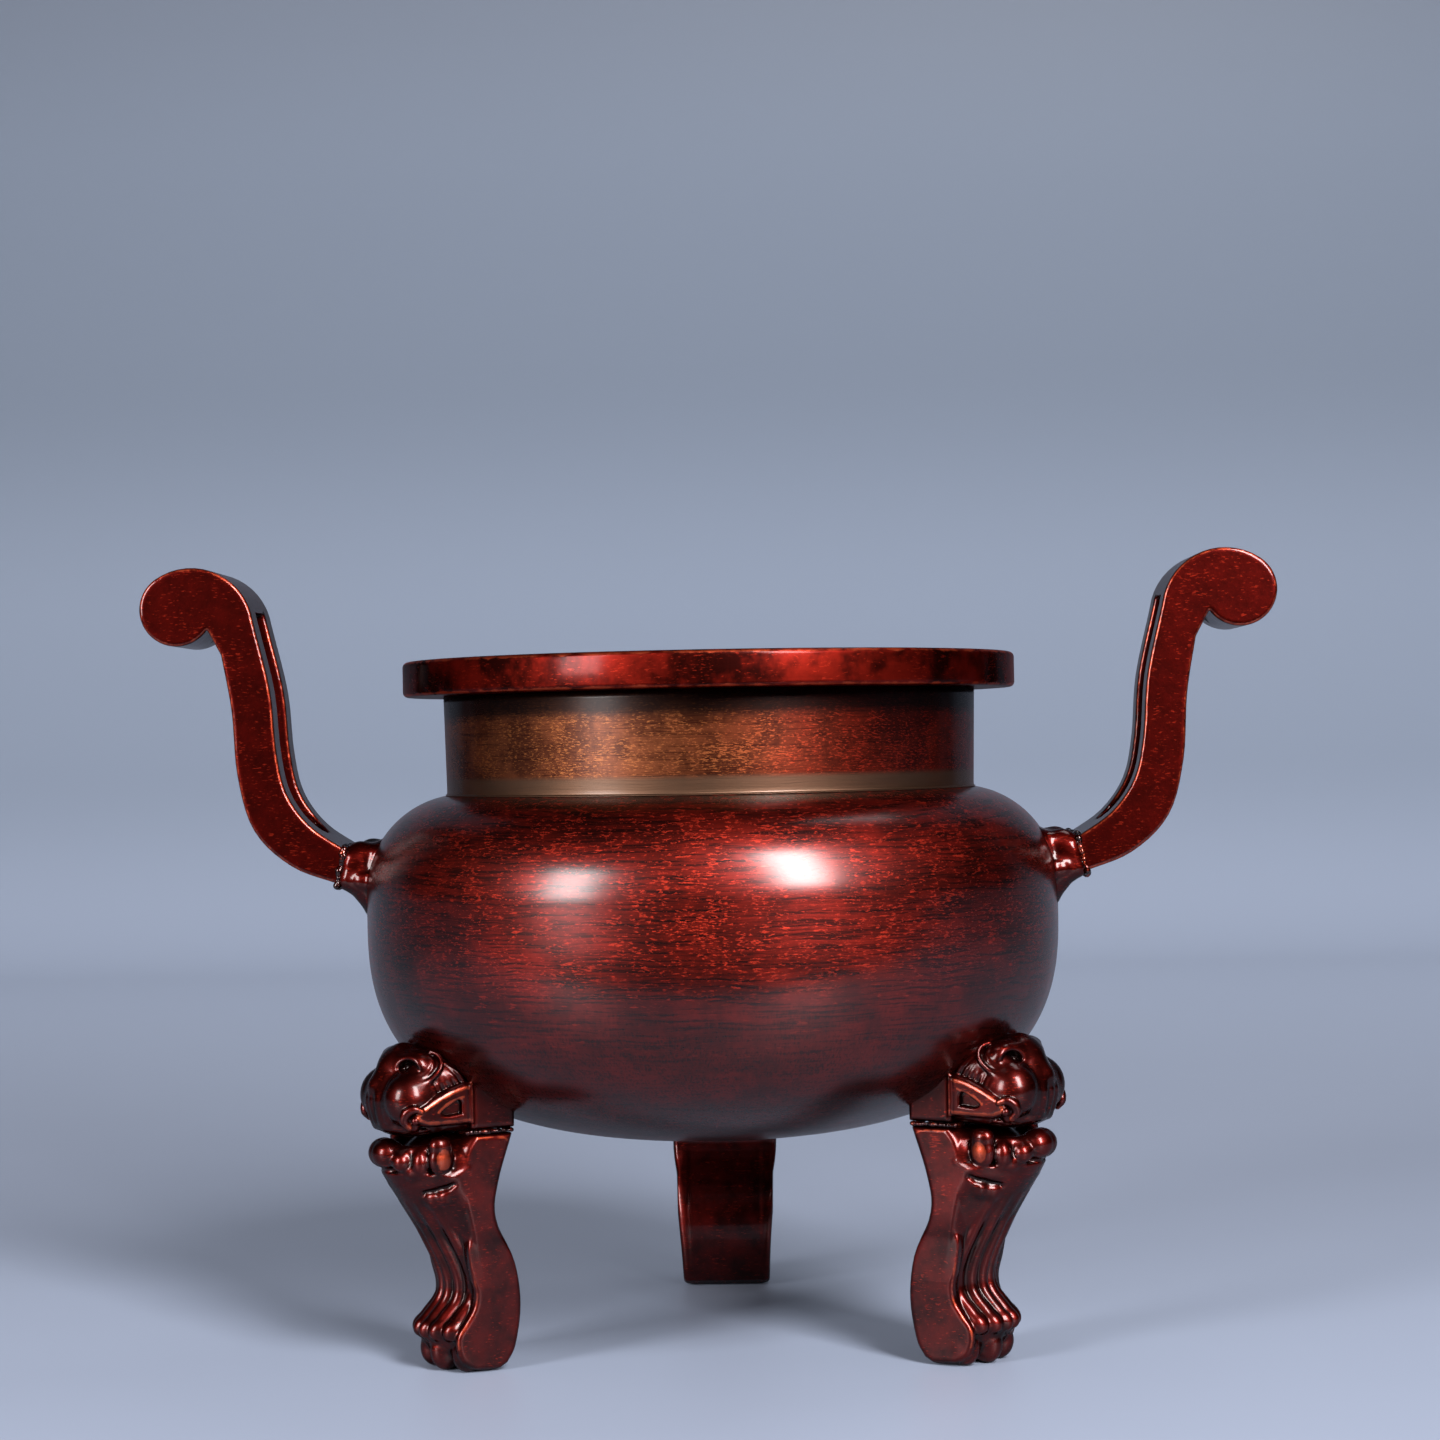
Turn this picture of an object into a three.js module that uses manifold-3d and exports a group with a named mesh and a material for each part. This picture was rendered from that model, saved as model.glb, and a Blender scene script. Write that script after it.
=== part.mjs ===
// Copper tripod incense burner: a round-bellied censer with an upright neck, a flat rim,
// two pierced S-shaped ears and three legs with a lion head at the knee and a paw at the table.
// Millimetres, +Z up. The origin is the centre of the burner's outer box at table level,
// and the middle of the rear leg points along +Y.

import * as THREE from 'three';
import { mergeVertices } from 'three/addons/utils/BufferGeometryUtils.js';
import Module from 'manifold-3d';

const wasm = await Module();
wasm.setup();

// Driving dimensions of the vessel
const rimRadius = 45;
const rimTop = 99.6;
const rimThickness = 5.1;
const rimEdgeRadius = 0.8;
const mouthRadius = 35.3;
const neckTopRadius = 39.1;
const neckFootRadius = 38.8;
const bellyRadius = 50.75;
const bellyEquator = 66;
const shoulderRadius = 14.25;
const undersideCentre = 62;
const bellyBottom = 29.8;
const undersideSquareness = 2.65;
const wall = 3.2;
const turnSteps = 48;

// Driving dimensions of the ears, in the plane through the burner's axis
const earDepth = 16.4;
const earSlotWidth = 7.2;
const earSlotTop = 108;
const earSlotFoot = 57;
const curlCentre = { x: 77.5, z: 108 };
const curlRadius = 5.4;
const curlBackRadius = 9.2;
const curlJoinAngle = THREE.MathUtils.degToRad(55.6);
const curlNotchAngle = THREE.MathUtils.degToRad(214);
const curlBackAngle = THREE.MathUtils.degToRad(172);
const earSeam = { top: [53, 72.4], foot: [54, 67.4] };
const earBrazeReach = 0.7;
const earBrazeLength = 2.6;

// Driving dimensions of the legs, in the plane of each leg: r from the burner's axis, z up
const legAngles = { front_left: 210, front_right: 330, rear: 90 };
const legHalfWidth = 8.3;
const soleHalfWidth = 7.4;
const legTaperTop = 24;
const legTop = 33.3;
const legBraze = 0.7;
const collarBack = 36.4;
const collarFront = 42.8;
const seamGap = 0.3;
const frontStart = 42;
const frontRoundness = 0.09;

const legCopper = { color: 0x4a1410, roughness: 0.3, metalness: 0.8 };
const bowlCopper = { color: 0x5c1712, roughness: 0.34, metalness: 0.8 };
const neckBronze = { color: 0x6b3c1e, roughness: 0.4, metalness: 0.85 };
const brazeMetal = { color: 0x8a4a30, roughness: 0.35, metalness: 0.9 };

// Closed meshes to solids and back, for the cuts and joins

function toSolid(geometry) {
  const bare = geometry.clone();
  bare.deleteAttribute('normal');
  bare.deleteAttribute('uv');
  const merged = mergeVertices(bare, 1e-4);
  const corners = merged.index.array;
  const triangles = [];
  for (let i = 0; i < corners.length; i += 3) {
    const [a, b, c] = [corners[i], corners[i + 1], corners[i + 2]];
    if (a !== b && b !== c && c !== a) triangles.push(a, b, c);
  }
  const mesh = new wasm.Mesh({
    numProp: 3,
    vertProperties: Float32Array.from(merged.attributes.position.array),
    triVerts: Uint32Array.from(triangles),
  });
  return new wasm.Manifold(mesh);
}

function toGeometry(solid) {
  const mesh = solid.getMesh();
  const geometry = new THREE.BufferGeometry();
  geometry.setAttribute('position', new THREE.BufferAttribute(mesh.vertProperties, 3));
  geometry.setIndex(new THREE.BufferAttribute(mesh.triVerts, 1));
  geometry.computeVertexNormals();
  return geometry;
}

const join = (solids) => solids.reduce((whole, next) => whole.add(next));

// Turned shapes: a profile of [r, z] points spun about the burner's axis

function turned(profile) {
  const points = profile.map(([r, z]) => new THREE.Vector2(r, z));
  return new THREE.LatheGeometry(points, turnSteps).rotateX(Math.PI / 2);
}

function arc(centreR, centreZ, radius, from, to, steps) {
  const points = [];
  for (let i = 0; i <= steps; i++) {
    const angle = from + ((to - from) * i) / steps;
    points.push([centreR + radius * Math.cos(angle), centreZ + radius * Math.sin(angle)]);
  }
  return points;
}

// The belly's section from the axis up to radius endRadius on the shoulder, moved in by inset
function bellySection(inset, endRadius) {
  const undersideSteps = 10;
  const shoulderSteps = 5;
  const width = bellyRadius - inset;
  const drop = undersideCentre - bellyBottom - inset;
  const power = 2 / undersideSquareness;
  const section = [[0, undersideCentre - drop]];
  for (let i = 1; i <= undersideSteps; i++) {
    const angle = (Math.PI / 2) * (1 - i / undersideSteps);
    const r = width * Math.cos(angle) ** power;
    const z = undersideCentre - drop * Math.sin(angle) ** power;
    section.push([r, z]);
  }
  const centreR = bellyRadius - shoulderRadius;
  const radius = shoulderRadius - inset;
  const end = Math.acos((endRadius - centreR) / radius);
  return section.concat(arc(centreR, bellyEquator, radius, 0, end, shoulderSteps));
}

const last = (list) => list[list.length - 1];
const shoulderTop = last(bellySection(0, neckFootRadius))[1];
const rimFoot = rimTop - rimThickness;

function bowlGeometry() {
  const outside = bellySection(0, neckFootRadius);
  const inside = bellySection(wall, mouthRadius);
  return turned([...outside, [mouthRadius, shoulderTop], ...inside.reverse()]);
}

function neckGeometry() {
  return turned([
    [mouthRadius, shoulderTop],
    [neckFootRadius, shoulderTop],
    [neckTopRadius, rimFoot],
    [mouthRadius, rimFoot],
    [mouthRadius, shoulderTop],
  ]);
}

function rimGeometry() {
  const edgeR = rimRadius - rimEdgeRadius;
  const edgeSteps = 3;
  const quarter = Math.PI / 2;
  return turned([
    [mouthRadius, rimFoot],
    ...arc(edgeR, rimFoot + rimEdgeRadius, rimEdgeRadius, -quarter, 0, edgeSteps),
    ...arc(edgeR, rimTop - rimEdgeRadius, rimEdgeRadius, 0, quarter, edgeSteps),
    [mouthRadius, rimTop],
    [mouthRadius, rimFoot],
  ]);
}

// The space that the bowl takes, a little enlarged, for cutting the pieces that meet it
function bowlSpace() {
  const section = bellySection(-seamGap, neckFootRadius);
  return toSolid(turned([...section, [0, last(section)[1]]]));
}

// Flat outlines in the x-z plane, made solid along y and centred on it.
// edge rounds the long edges inside the outline; grow enlarges the whole solid all round.
function upright(shape, depth, { edge = 0, grow = 0, steps = 1 } = {}) {
  const geometry = new THREE.ExtrudeGeometry(shape, {
    depth: depth - 2 * edge,
    steps,
    curveSegments: 3,
    bevelEnabled: edge > 0 || grow > 0,
    bevelThickness: edge + grow,
    bevelSize: edge,
    bevelOffset: grow - edge,
    bevelSegments: edge > 0 ? 2 : 1,
  });
  return geometry.translate(0, 0, edge - depth / 2).rotateX(Math.PI / 2);
}

const vectors = (points) => points.map(([x, y]) => new THREE.Vector2(x, y));

function ball(centre, radii) {
  const sphere = new THREE.SphereGeometry(1, 10, 7);
  return sphere.scale(...radii).translate(...centre);
}

// A six-sided bar along a path of [x, y, z] points
function bar(path, radius, steps = 6) {
  const curve = new THREE.CatmullRomCurve3(path.map((point) => new THREE.Vector3(...point)));
  const section = new THREE.Shape().absarc(0, 0, radius, 0, 2 * Math.PI);
  return new THREE.ExtrudeGeometry(section, {
    steps,
    curveSegments: 3,
    extrudePath: curve,
  });
}

// An ear's side outline: up the inner edge, round the curl, and back down the outer edge
function earShape() {
  const backCentre = {
    x: curlCentre.x - (curlBackRadius - curlRadius) * Math.cos(curlJoinAngle),
    z: curlCentre.z - (curlBackRadius - curlRadius) * Math.sin(curlJoinAngle),
  };
  const curlBack = [
    backCentre.x + curlBackRadius * Math.cos(curlBackAngle),
    backCentre.z + curlBackRadius * Math.sin(curlBackAngle),
  ];
  const innerEdge = [[58.2, 76], [61.6, 80.8], [63, 87], [63.8, 96], curlBack];
  const outerEdge = [[70.9, 101.2], [69.5, 93], [68.8, 83.5], [66.5, 75.5], [61.1, 70.2]];
  const shape = new THREE.Shape();
  shape.moveTo(...earSeam.top);
  shape.splineThru(vectors(innerEdge));
  shape.absarc(backCentre.x, backCentre.z, curlBackRadius, curlBackAngle, curlJoinAngle, true);
  shape.absarc(curlCentre.x, curlCentre.z, curlRadius, curlJoinAngle, curlNotchAngle - 2 * Math.PI, true);
  shape.splineThru(vectors([...outerEdge, earSeam.foot]));
  return shape;
}

// The slot that parts an ear into a front and a rear bar. Its foot is round, and at the top
// it runs up under the curl without cutting into it.
function earSlot() {
  const half = earSlotWidth / 2;
  const footCentre = earSlotFoot + half;
  const below = 60;
  const outside = 76;
  const slopeTop = new THREE.Shape(vectors([
    [footCentre, below],
    [outside, below],
    [outside, 100.3],
    [72.2, earSlotTop - 1],
    [footCentre, earSlotTop],
  ]));
  const foot = new THREE.CylinderGeometry(half, half, earSlotTop - below, 16)
    .rotateX(Math.PI / 2)
    .translate(footCentre, 0, (earSlotTop + below) / 2);
  return toSolid(upright(slopeTop, earSlotWidth)).add(toSolid(foot));
}

function earGeometry() {
  return toGeometry(toSolid(upright(earShape(), earDepth, { edge: 0.5 })).subtract(earSlot()));
}

// The cast stub between shoulder and ear, running down the belly in a fillet
function earRootShape() {
  const [topX, topZ] = earSeam.top;
  const [footX, footZ] = earSeam.foot;
  const insideBowl = topX - 9;
  const shape = new THREE.Shape();
  shape.moveTo(topX - seamGap, topZ);
  shape.lineTo(insideBowl, topZ + 1.6);
  shape.lineTo(insideBowl, footZ - 8);
  shape.lineTo(topX - 2.4, footZ - 4.8);
  shape.quadraticCurveTo(topX - 0.8, footZ - 2, footX - seamGap, footZ);
  return shape;
}

function earRootGeometry() {
  return toGeometry(toSolid(upright(earRootShape(), earDepth, { edge: 0.6 })).subtract(bowlSpace()));
}

// The bead where stub and ear are brazed: a rounded collar round both ends
function earBrazeGeometry() {
  const [topX, topZ] = earSeam.top;
  const [footX, footZ] = earSeam.foot;
  const tilt = Math.atan2(topX - footX, topZ - footZ);
  const width = earBrazeLength / 2;
  const height = Math.hypot(topX - footX, topZ - footZ) / 2 + earBrazeReach;
  const corners = [[-width, -height], [width, -height], [width, height], [-width, height]];
  const block = new THREE.Shape(vectors(corners));
  const bead = upright(block, earDepth + 2 * earBrazeReach, { edge: 0.9 })
    .rotateY(tilt)
    .translate((topX + footX) / 2, 0, (topZ + footZ) / 2);
  const ear = toSolid(upright(earShape(), earDepth, { grow: seamGap }));
  const root = toSolid(upright(earRootShape(), earDepth, { grow: seamGap }));
  return toGeometry(toSolid(bead).subtract(ear).subtract(root).subtract(bowlSpace()));
}

// Legs. The block behind the lion head, from the brazed seam up to the bowl
function collarGeometry() {
  const foot = legTop + legBraze;
  const insideBowl = foot + 12;
  const block = new THREE.Shape(vectors([
    [collarBack, foot],
    [collarFront, foot],
    [collarFront, insideBowl],
    [collarBack - 0.5, insideBowl],
  ]));
  return toGeometry(toSolid(upright(block, 2 * legHalfWidth)).subtract(bowlSpace()));
}

// The bright filler between collar and shank, standing a little proud at the sides
function legBrazeGeometry() {
  const proud = 0.15;
  const seam = new THREE.Shape(vectors([
    [collarBack + 0.2, legTop],
    [collarFront, legTop],
    [collarFront, legTop + legBraze],
    [collarBack + 0.2, legTop + legBraze],
  ]));
  return upright(seam, 2 * (legHalfWidth + proud));
}

// Narrows a leg towards the sole: full width down to legTaperTop, soleHalfWidth at the table
function narrowToSole(geometry) {
  const position = geometry.attributes.position;
  for (let i = 0; i < position.count; i++) {
    const rise = THREE.MathUtils.smoothstep(position.getZ(i), 0, legTaperTop);
    const width = THREE.MathUtils.lerp(soleHalfWidth / legHalfWidth, 1, rise);
    position.setY(i, position.getY(i) * width);
  }
  return geometry;
}

// How far the leg's front lies back at y from its middle line
const setBack = (y) => frontRoundness * y ** 2;

// Rounds the front of a leg piece across its width
function roundFront(geometry) {
  const position = geometry.attributes.position;
  for (let i = 0; i < position.count; i++) {
    const r = position.getX(i);
    const share = THREE.MathUtils.smoothstep(r, frontStart, frontStart + 3);
    position.setX(i, r - share * setBack(position.getY(i)));
  }
  return geometry;
}

const bothSides = (build) => [build(1), build(-1)];

// The plain slab that carries the leg's flat sides and its smooth curved back
function shankSlab() {
  const back = [[38.9, 26.4], [39.3, 21.5], [36.4, 15], [35.4, 9], [36.1, 3.4], [38.4, 0]];
  const front = [[44.7, 4.5], [41.7, 10], [42.4, 17], [45, 27], [46, 31.5]];
  const shape = new THREE.Shape();
  shape.moveTo(collarBack + 0.2, legTop);
  shape.splineThru(vectors(back));
  shape.lineTo(42.6, 0);
  shape.splineThru(vectors(front));
  shape.lineTo(44.5, legTop);
  return upright(shape, 2 * legHalfWidth);
}

// The swelling front of the leg: lower jaw, throat, instep and toes, narrower than the slab
function shankFront() {
  const front = [[47.2, 4.2], [44.7, 9.6], [44.2, 14], [47.6, 20], [51.2, 25.6], [52.6, 29.6], [52, legTop]];
  const shape = new THREE.Shape();
  shape.moveTo(40, legTop);
  shape.lineTo(40, 0);
  shape.lineTo(45, 0);
  shape.splineThru(vectors(front));
  return roundFront(upright(shape, 13.6, { steps: 6 }));
}

function legGeometry() {
  const toeOffsets = [-4.8, -1.6, 1.6, 4.8];
  const tendonLine = [[45.8, 6.5], [42.9, 13], [45.6, 19], [49.4, 24.5]];
  const toes = toeOffsets.map((y) => ball([45.6 - setBack(y), y, 4.6], [2.3, 1.75, 3.4]));
  const tendons = toeOffsets.map((y) => bar(tendonLine.map(([r, z]) => [r - setBack(y), y, z]), 1.5));
  const lip = ball([53, 0, 30.3], [2.1, 2.6, 2.1]);
  const pearls = bothSides((side) => ball([51.1, side * 4, 29.6], [1.9, 1.7, 1.9]));
  const jawBeads = bothSides((side) => ball([46.6, side * 6.9, 30], [1.7, 1.6, 2.4]));
  const slabs = [narrowToSole(shankSlab()), narrowToSole(shankFront())];
  return toGeometry(join([...slabs, ...toes, ...tendons, lip, ...pearls, ...jawBeads].map(toSolid)));
}

// The head's core: from the mouth line round the muzzle and brow up into the bowl's underside
function headCore() {
  const mouth = legTop + legBraze + 0.4;
  const face = [[54.3, 36.2], [54, 39.6], [52.2, 43.2], [50.2, 46.4]];
  const shape = new THREE.Shape();
  shape.moveTo(collarFront + seamGap, mouth);
  shape.lineTo(53.9, mouth);
  shape.splineThru(vectors(face));
  shape.lineTo(collarFront + seamGap, 50);
  return roundFront(upright(shape, 13.4, { steps: 6 }));
}

// A pointed ear lying along the cheek, its tip forwards and down
function lionEar(side) {
  const leaf = new THREE.Shape(vectors([[43.4, 35.4], [48.4, 35.3], [50.3, 36.5], [47.6, 38.4], [43.4, 40.4]]));
  return upright(leaf, 4, { edge: 0.6 }).translate(0, side * 6.4, 0);
}

function headGeometry() {
  const muzzle = ball([51.6, 0, 37.6], [3.3, 4.6, 3.2]);
  const cheeks = bothSides((side) => ball([48.9, side * 4.8, 38], [3.7, 3.4, 3.5]));
  const brows = bothSides((side) => new THREE.TorusGeometry(1.5, 0.85, 6, 12)
    .rotateX(Math.PI / 2)
    .rotateZ(side * 0.6)
    .translate(48, side * 4.8, 43));
  const maneLocks = [0, 1, 2].flatMap((lock) => bothSides((side) => bar(
    [[48.2 - lock, side * 6.2, 40.6], [46.6 - lock, side * 6.8, 42], [45.6 - lock * 0.4, side * 7, 44]],
    0.8,
    4,
  )));
  const ears = bothSides(lionEar);
  const raw = join([headCore(), muzzle, ...cheeks, ...brows, ...maneLocks, ...ears].map(toSolid));
  const behind = new THREE.BoxGeometry(20, 40, 40).translate(collarFront + seamGap - 10, 0, 40);
  return toGeometry(raw.subtract(bowlSpace()).subtract(toSolid(behind)));
}

// Assembly

function piece(name, geometry, look) {
  const mesh = new THREE.Mesh(geometry, new THREE.MeshStandardMaterial(look));
  mesh.name = name;
  return mesh;
}

function vessel() {
  const group = new THREE.Group();
  group.add(piece('bowl', bowlGeometry(), bowlCopper));
  group.add(piece('neck_ring', neckGeometry(), neckBronze));
  group.add(piece('rim_flange', rimGeometry(), bowlCopper));
  return group;
}

function earAssembly(side, turn) {
  const group = new THREE.Group();
  group.add(piece(`ear_root_${side}`, earRootGeometry(), bowlCopper));
  group.add(piece(`ear_braze_${side}`, earBrazeGeometry(), brazeMetal));
  group.add(piece(`ear_${side}`, earGeometry(), bowlCopper));
  group.rotation.z = turn;
  return group;
}

function legAssembly(place, degrees) {
  const group = new THREE.Group();
  group.add(piece(`leg_collar_${place}`, collarGeometry(), legCopper));
  group.add(piece(`leg_braze_${place}`, legBrazeGeometry(), brazeMetal));
  group.add(piece(`lion_head_${place}`, headGeometry(), legCopper));
  group.add(piece(`leg_${place}`, legGeometry(), legCopper));
  group.rotation.z = THREE.MathUtils.degToRad(degrees);
  return group;
}

const burner = new THREE.Group();
burner.add(vessel());
burner.add(earAssembly('right', 0));
burner.add(earAssembly('left', Math.PI));
for (const [place, degrees] of Object.entries(legAngles)) burner.add(legAssembly(place, degrees));

const outerBox = new THREE.Box3().setFromObject(burner, true);
burner.position.y = -(outerBox.min.y + outerBox.max.y) / 2;

export default burner;
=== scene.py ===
# %% [markdown]
# # A tripod incense burner in patinated copper
#
# The real burner is cast and turned: a round belly, an upright neck, a flat rim, two pierced
# ears, and three legs that each start as a lion head and end in a paw. This lesson makes
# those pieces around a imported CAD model, gives each one its patina, and sets up a small
# photo studio. Lengths are written in millimetres and turned into metres at the very end.

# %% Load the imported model
import itertools
import math
from collections import namedtuple

import bpy
import numpy as np
from mathutils import Matrix, Vector


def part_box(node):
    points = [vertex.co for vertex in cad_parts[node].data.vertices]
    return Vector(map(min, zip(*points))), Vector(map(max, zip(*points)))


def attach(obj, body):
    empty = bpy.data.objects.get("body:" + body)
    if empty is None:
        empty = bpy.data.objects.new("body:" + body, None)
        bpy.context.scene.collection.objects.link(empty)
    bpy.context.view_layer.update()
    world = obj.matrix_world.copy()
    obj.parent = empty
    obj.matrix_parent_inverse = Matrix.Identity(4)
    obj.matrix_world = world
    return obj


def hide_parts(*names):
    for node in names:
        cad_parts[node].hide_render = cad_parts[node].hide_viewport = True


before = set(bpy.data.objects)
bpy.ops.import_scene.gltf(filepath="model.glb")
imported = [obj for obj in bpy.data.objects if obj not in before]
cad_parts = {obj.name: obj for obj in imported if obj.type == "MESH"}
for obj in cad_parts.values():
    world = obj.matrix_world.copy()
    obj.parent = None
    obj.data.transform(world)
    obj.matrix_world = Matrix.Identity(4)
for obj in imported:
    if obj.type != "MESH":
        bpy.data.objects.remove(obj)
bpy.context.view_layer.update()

MM = 0.001
neck_low, neck_high = (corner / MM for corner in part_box("neck_ring"))
axis_y = (neck_low.y + neck_high.y) / 2
print("nodes", len(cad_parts), "axis at y", round(axis_y, 2), "mm")

# %% [markdown]
# ## The camera
#
# A pinhole camera was fitted to the rim, the shoulder and the feet of the burner in the
# photograph. It stands in front of the belly, a hand's width above the table, looks almost
# level, and leans by one degree. The lens comes from the focal length in pixels.

# %% Camera
photo_width = 1440
focal_pixels = 3002.7
sensor_width = 36.0
near_limit = 0.01
camera_place = Vector((13.30, -443.90 + axis_y, 87.27))
pitch, yaw, roll = (math.radians(degrees) for degrees in (0.408, 1.512, -1.073))


def put_in_scene(name, data):
    """A new object in the scene, for a camera, a lamp or a mesh."""
    thing = bpy.data.objects.new(name, data)
    bpy.context.scene.collection.objects.link(thing)
    return thing


camera_data = bpy.data.cameras.new("camera")
camera_data.sensor_width = sensor_width
camera_data.lens = sensor_width * focal_pixels / photo_width
camera_data.clip_start = near_limit
camera = put_in_scene("camera", camera_data)
pose = Matrix.Translation(camera_place * MM)
for angle, axis in ((yaw, "Z"), (math.pi / 2 + pitch, "X"), (roll, "Z")):
    pose = pose @ Matrix.Rotation(angle, 4, axis)
camera.matrix_world = pose
bpy.context.scene.camera = camera
print("lens", round(camera_data.lens, 2), "mm")

# %% [markdown]
# ## Nodes written as sums
#
# Materials and Geometry Nodes are both trees of nodes. The Bench adds a node to a tree, sets
# it up and links its sockets. What comes out is a Value, and because a Value knows how to
# add, subtract, multiply and divide, a formula can be written as a formula.

# %% Bench and Value
class Value:
    """An output socket that takes part in sums by adding Math nodes to its tree."""

    def __init__(self, bench, socket):
        self.bench, self.socket = bench, socket

    def __add__(self, other):
        return self.bench.math("ADD", self, other)

    def __sub__(self, other):
        return self.bench.math("SUBTRACT", self, other)

    def __rsub__(self, other):
        return self.bench.math("SUBTRACT", other, self)

    def __mul__(self, other):
        return self.bench.math("MULTIPLY", self, other)

    def __truediv__(self, other):
        return self.bench.math("DIVIDE", self, other)


class Bench:
    """A node tree and the methods that add nodes to it."""

    def __init__(self, tree):
        self.tree = tree

    def add(self, kind, inputs=None, output=0, **settings):
        """A new node, set up and linked. Gives one of its outputs, if it has any."""
        node = self.tree.nodes.new(kind)
        for name, setting in settings.items():
            setattr(node, name, setting)
        for name, given in (inputs or {}).items():
            if isinstance(given, Value):
                self.tree.links.new(given.socket, node.inputs[name])
            else:
                node.inputs[name].default_value = given
        return Value(self, node.outputs[output]) if node.outputs else node

    def math(self, operation, first, second=0.0):
        return self.add("ShaderNodeMath", {0: first, 1: second}, operation=operation)

    def part(self, vector, axis):
        """The X, Y or Z of a vector."""
        return self.add("ShaderNodeSeparateXYZ", {0: vector}, axis)

    def ramp(self, value, low, high, out_low=0.0):
        """From out_low below low to 1 above high, with a soft change between."""
        inputs = {"Value": value, 1: low, 2: high, 3: out_low}
        return self.add("ShaderNodeMapRange", inputs, interpolation_type="SMOOTHSTEP")

    def layered(self, colour, *layers):
        """A colour with others laid over it, each with the share that it covers."""
        for share, tint in layers:
            pair = [(*c, 1.0) if isinstance(c, tuple) else c for c in (colour, tint)]
            inputs = {0: share, 6: pair[0], 7: pair[1]}
            colour = self.add("ShaderNodeMix", inputs, 2, data_type="RGBA")
        return colour


print("bench ready")

# %% [markdown]
# ## Patina
#
# All pieces have the same kind of finish. The copper is brushed, stained oxblood red and
# lacquered, so metal glints through a dark colour. Three patterns make it: long fine brush
# lines, red flecks that gather in patches, and slow cloudy stains. They read Object
# coordinates, so they stay put on each piece. Pieces that are modelled in clay also carry
# an attribute named relief: how far a spot stands out of its surroundings, in millimetres.
# Spots that stand out get a painted highlight of brighter red, and hollows get painted shade
# that is near black.

# %% Patterns
EDGE_TINT = (0.22, 0.07, 0.06, 1.0)
LINE_LENGTH = 9.0
WAVER = 1.2 * MM


class Patina(Bench):
    """The nodes of one material, and the patterns that they draw."""

    def __init__(self, slot):
        self.material = bpy.data.materials.new(slot + "_finish")
        self.material.use_nodes = True
        super().__init__(self.material.node_tree)
        self.tree.nodes.clear()
        self.place = self.add("ShaderNodeTexCoord", output="Object")

    def along(self, axis):
        """The place along X, Y or Z in millimetres. Z is the height above the table."""
        return self.part(self.place, axis) * (1 / MM)

    def attribute(self, name):
        return self.add("ShaderNodeAttribute", output="Fac", attribute_name=name)

    def stretched(self, flat, high, place=None):
        """The place with both level axes scaled by flat and the height scaled by high."""
        inputs = {"Vector": place or self.place, "Scale": (flat, flat, high)}
        return self.add("ShaderNodeMapping", inputs)

    def noise(self, size, detail, roughness=0.65, place=None):
        """Clouds whose lumps are about size millimetres across."""
        inputs = {"Vector": place or self.place, "Scale": 1 / (size * MM), "Detail": detail,
                  "Roughness": roughness}
        return self.add("ShaderNodeTexNoise", inputs)

    def brush_lines(self, spacing):
        """Fine scratches that run level round the burner and waver a little."""
        shift = self.add("ShaderNodeCombineXYZ", {"Z": self.noise(12.0, 2.0, 0.5) * WAVER})
        bent = self.add("ShaderNodeVectorMath", {0: self.place, 1: shift})
        return self.noise(spacing, 4.0, 0.7, self.stretched(spacing / LINE_LENGTH, 1.0, bent))

    def flecks(self, size, patch, share):
        """Shards of bright copper, longer than they are high, gathered in patches."""
        shards = self.noise(size, 3.0, place=self.stretched(0.25, 1.0))
        edge = 0.69 - share * 0.2 - self.ramp(self.noise(patch, 4.0), 0.40, 0.64) * 0.07
        return self.ramp(shards - edge, -0.02, 0.07)

    def shaded(self, inputs):
        """The finished material, for the inputs of its shader."""
        shader = self.add("ShaderNodeBsdfPrincipled", inputs)
        self.add("ShaderNodeOutputMaterial", {"Surface": shader})
        return self.material

    def metal(self, colour, roughness, height, depth, coat, coat_roughness):
        """The stained and lacquered metal. Height is in units of depth, which is in mm."""
        bump = self.add("ShaderNodeBump", {"Height": height, "Distance": depth * MM})
        return self.shaded({
            "Base Color": colour, "Roughness": roughness, "Metallic": 1.0, "Normal": bump,
            "Specular Tint": EDGE_TINT, "Coat Weight": coat, "Coat Roughness": coat_roughness,
        })


# %% [markdown]
# The belly is the largest surface and shows all three patterns. The stain is thin where the
# brush lines stand up, so they are both a colour and a bump. Below the equator the brushing
# turns upright, and the flecks get rare. Painted shade darkens the underside a little, and
# the top of the shoulder where it meets the neck.

# %% Belly patina
OXBLOOD = (0.056, 0.0032, 0.0018)
OXBLOOD_DARK = (0.015, 0.0016, 0.0012)
OXBLOOD_BRIGHT = (0.125, 0.0060, 0.0032)
FLECK_RED = (0.34, 0.021, 0.009)
WORN_COPPER = (0.36, 0.050, 0.020)
# Near black for painted shade: the rim's shadow on the neck and the hollows of cast pieces.
SHADE_BLACK = (0.0060, 0.0028, 0.0025)


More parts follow.
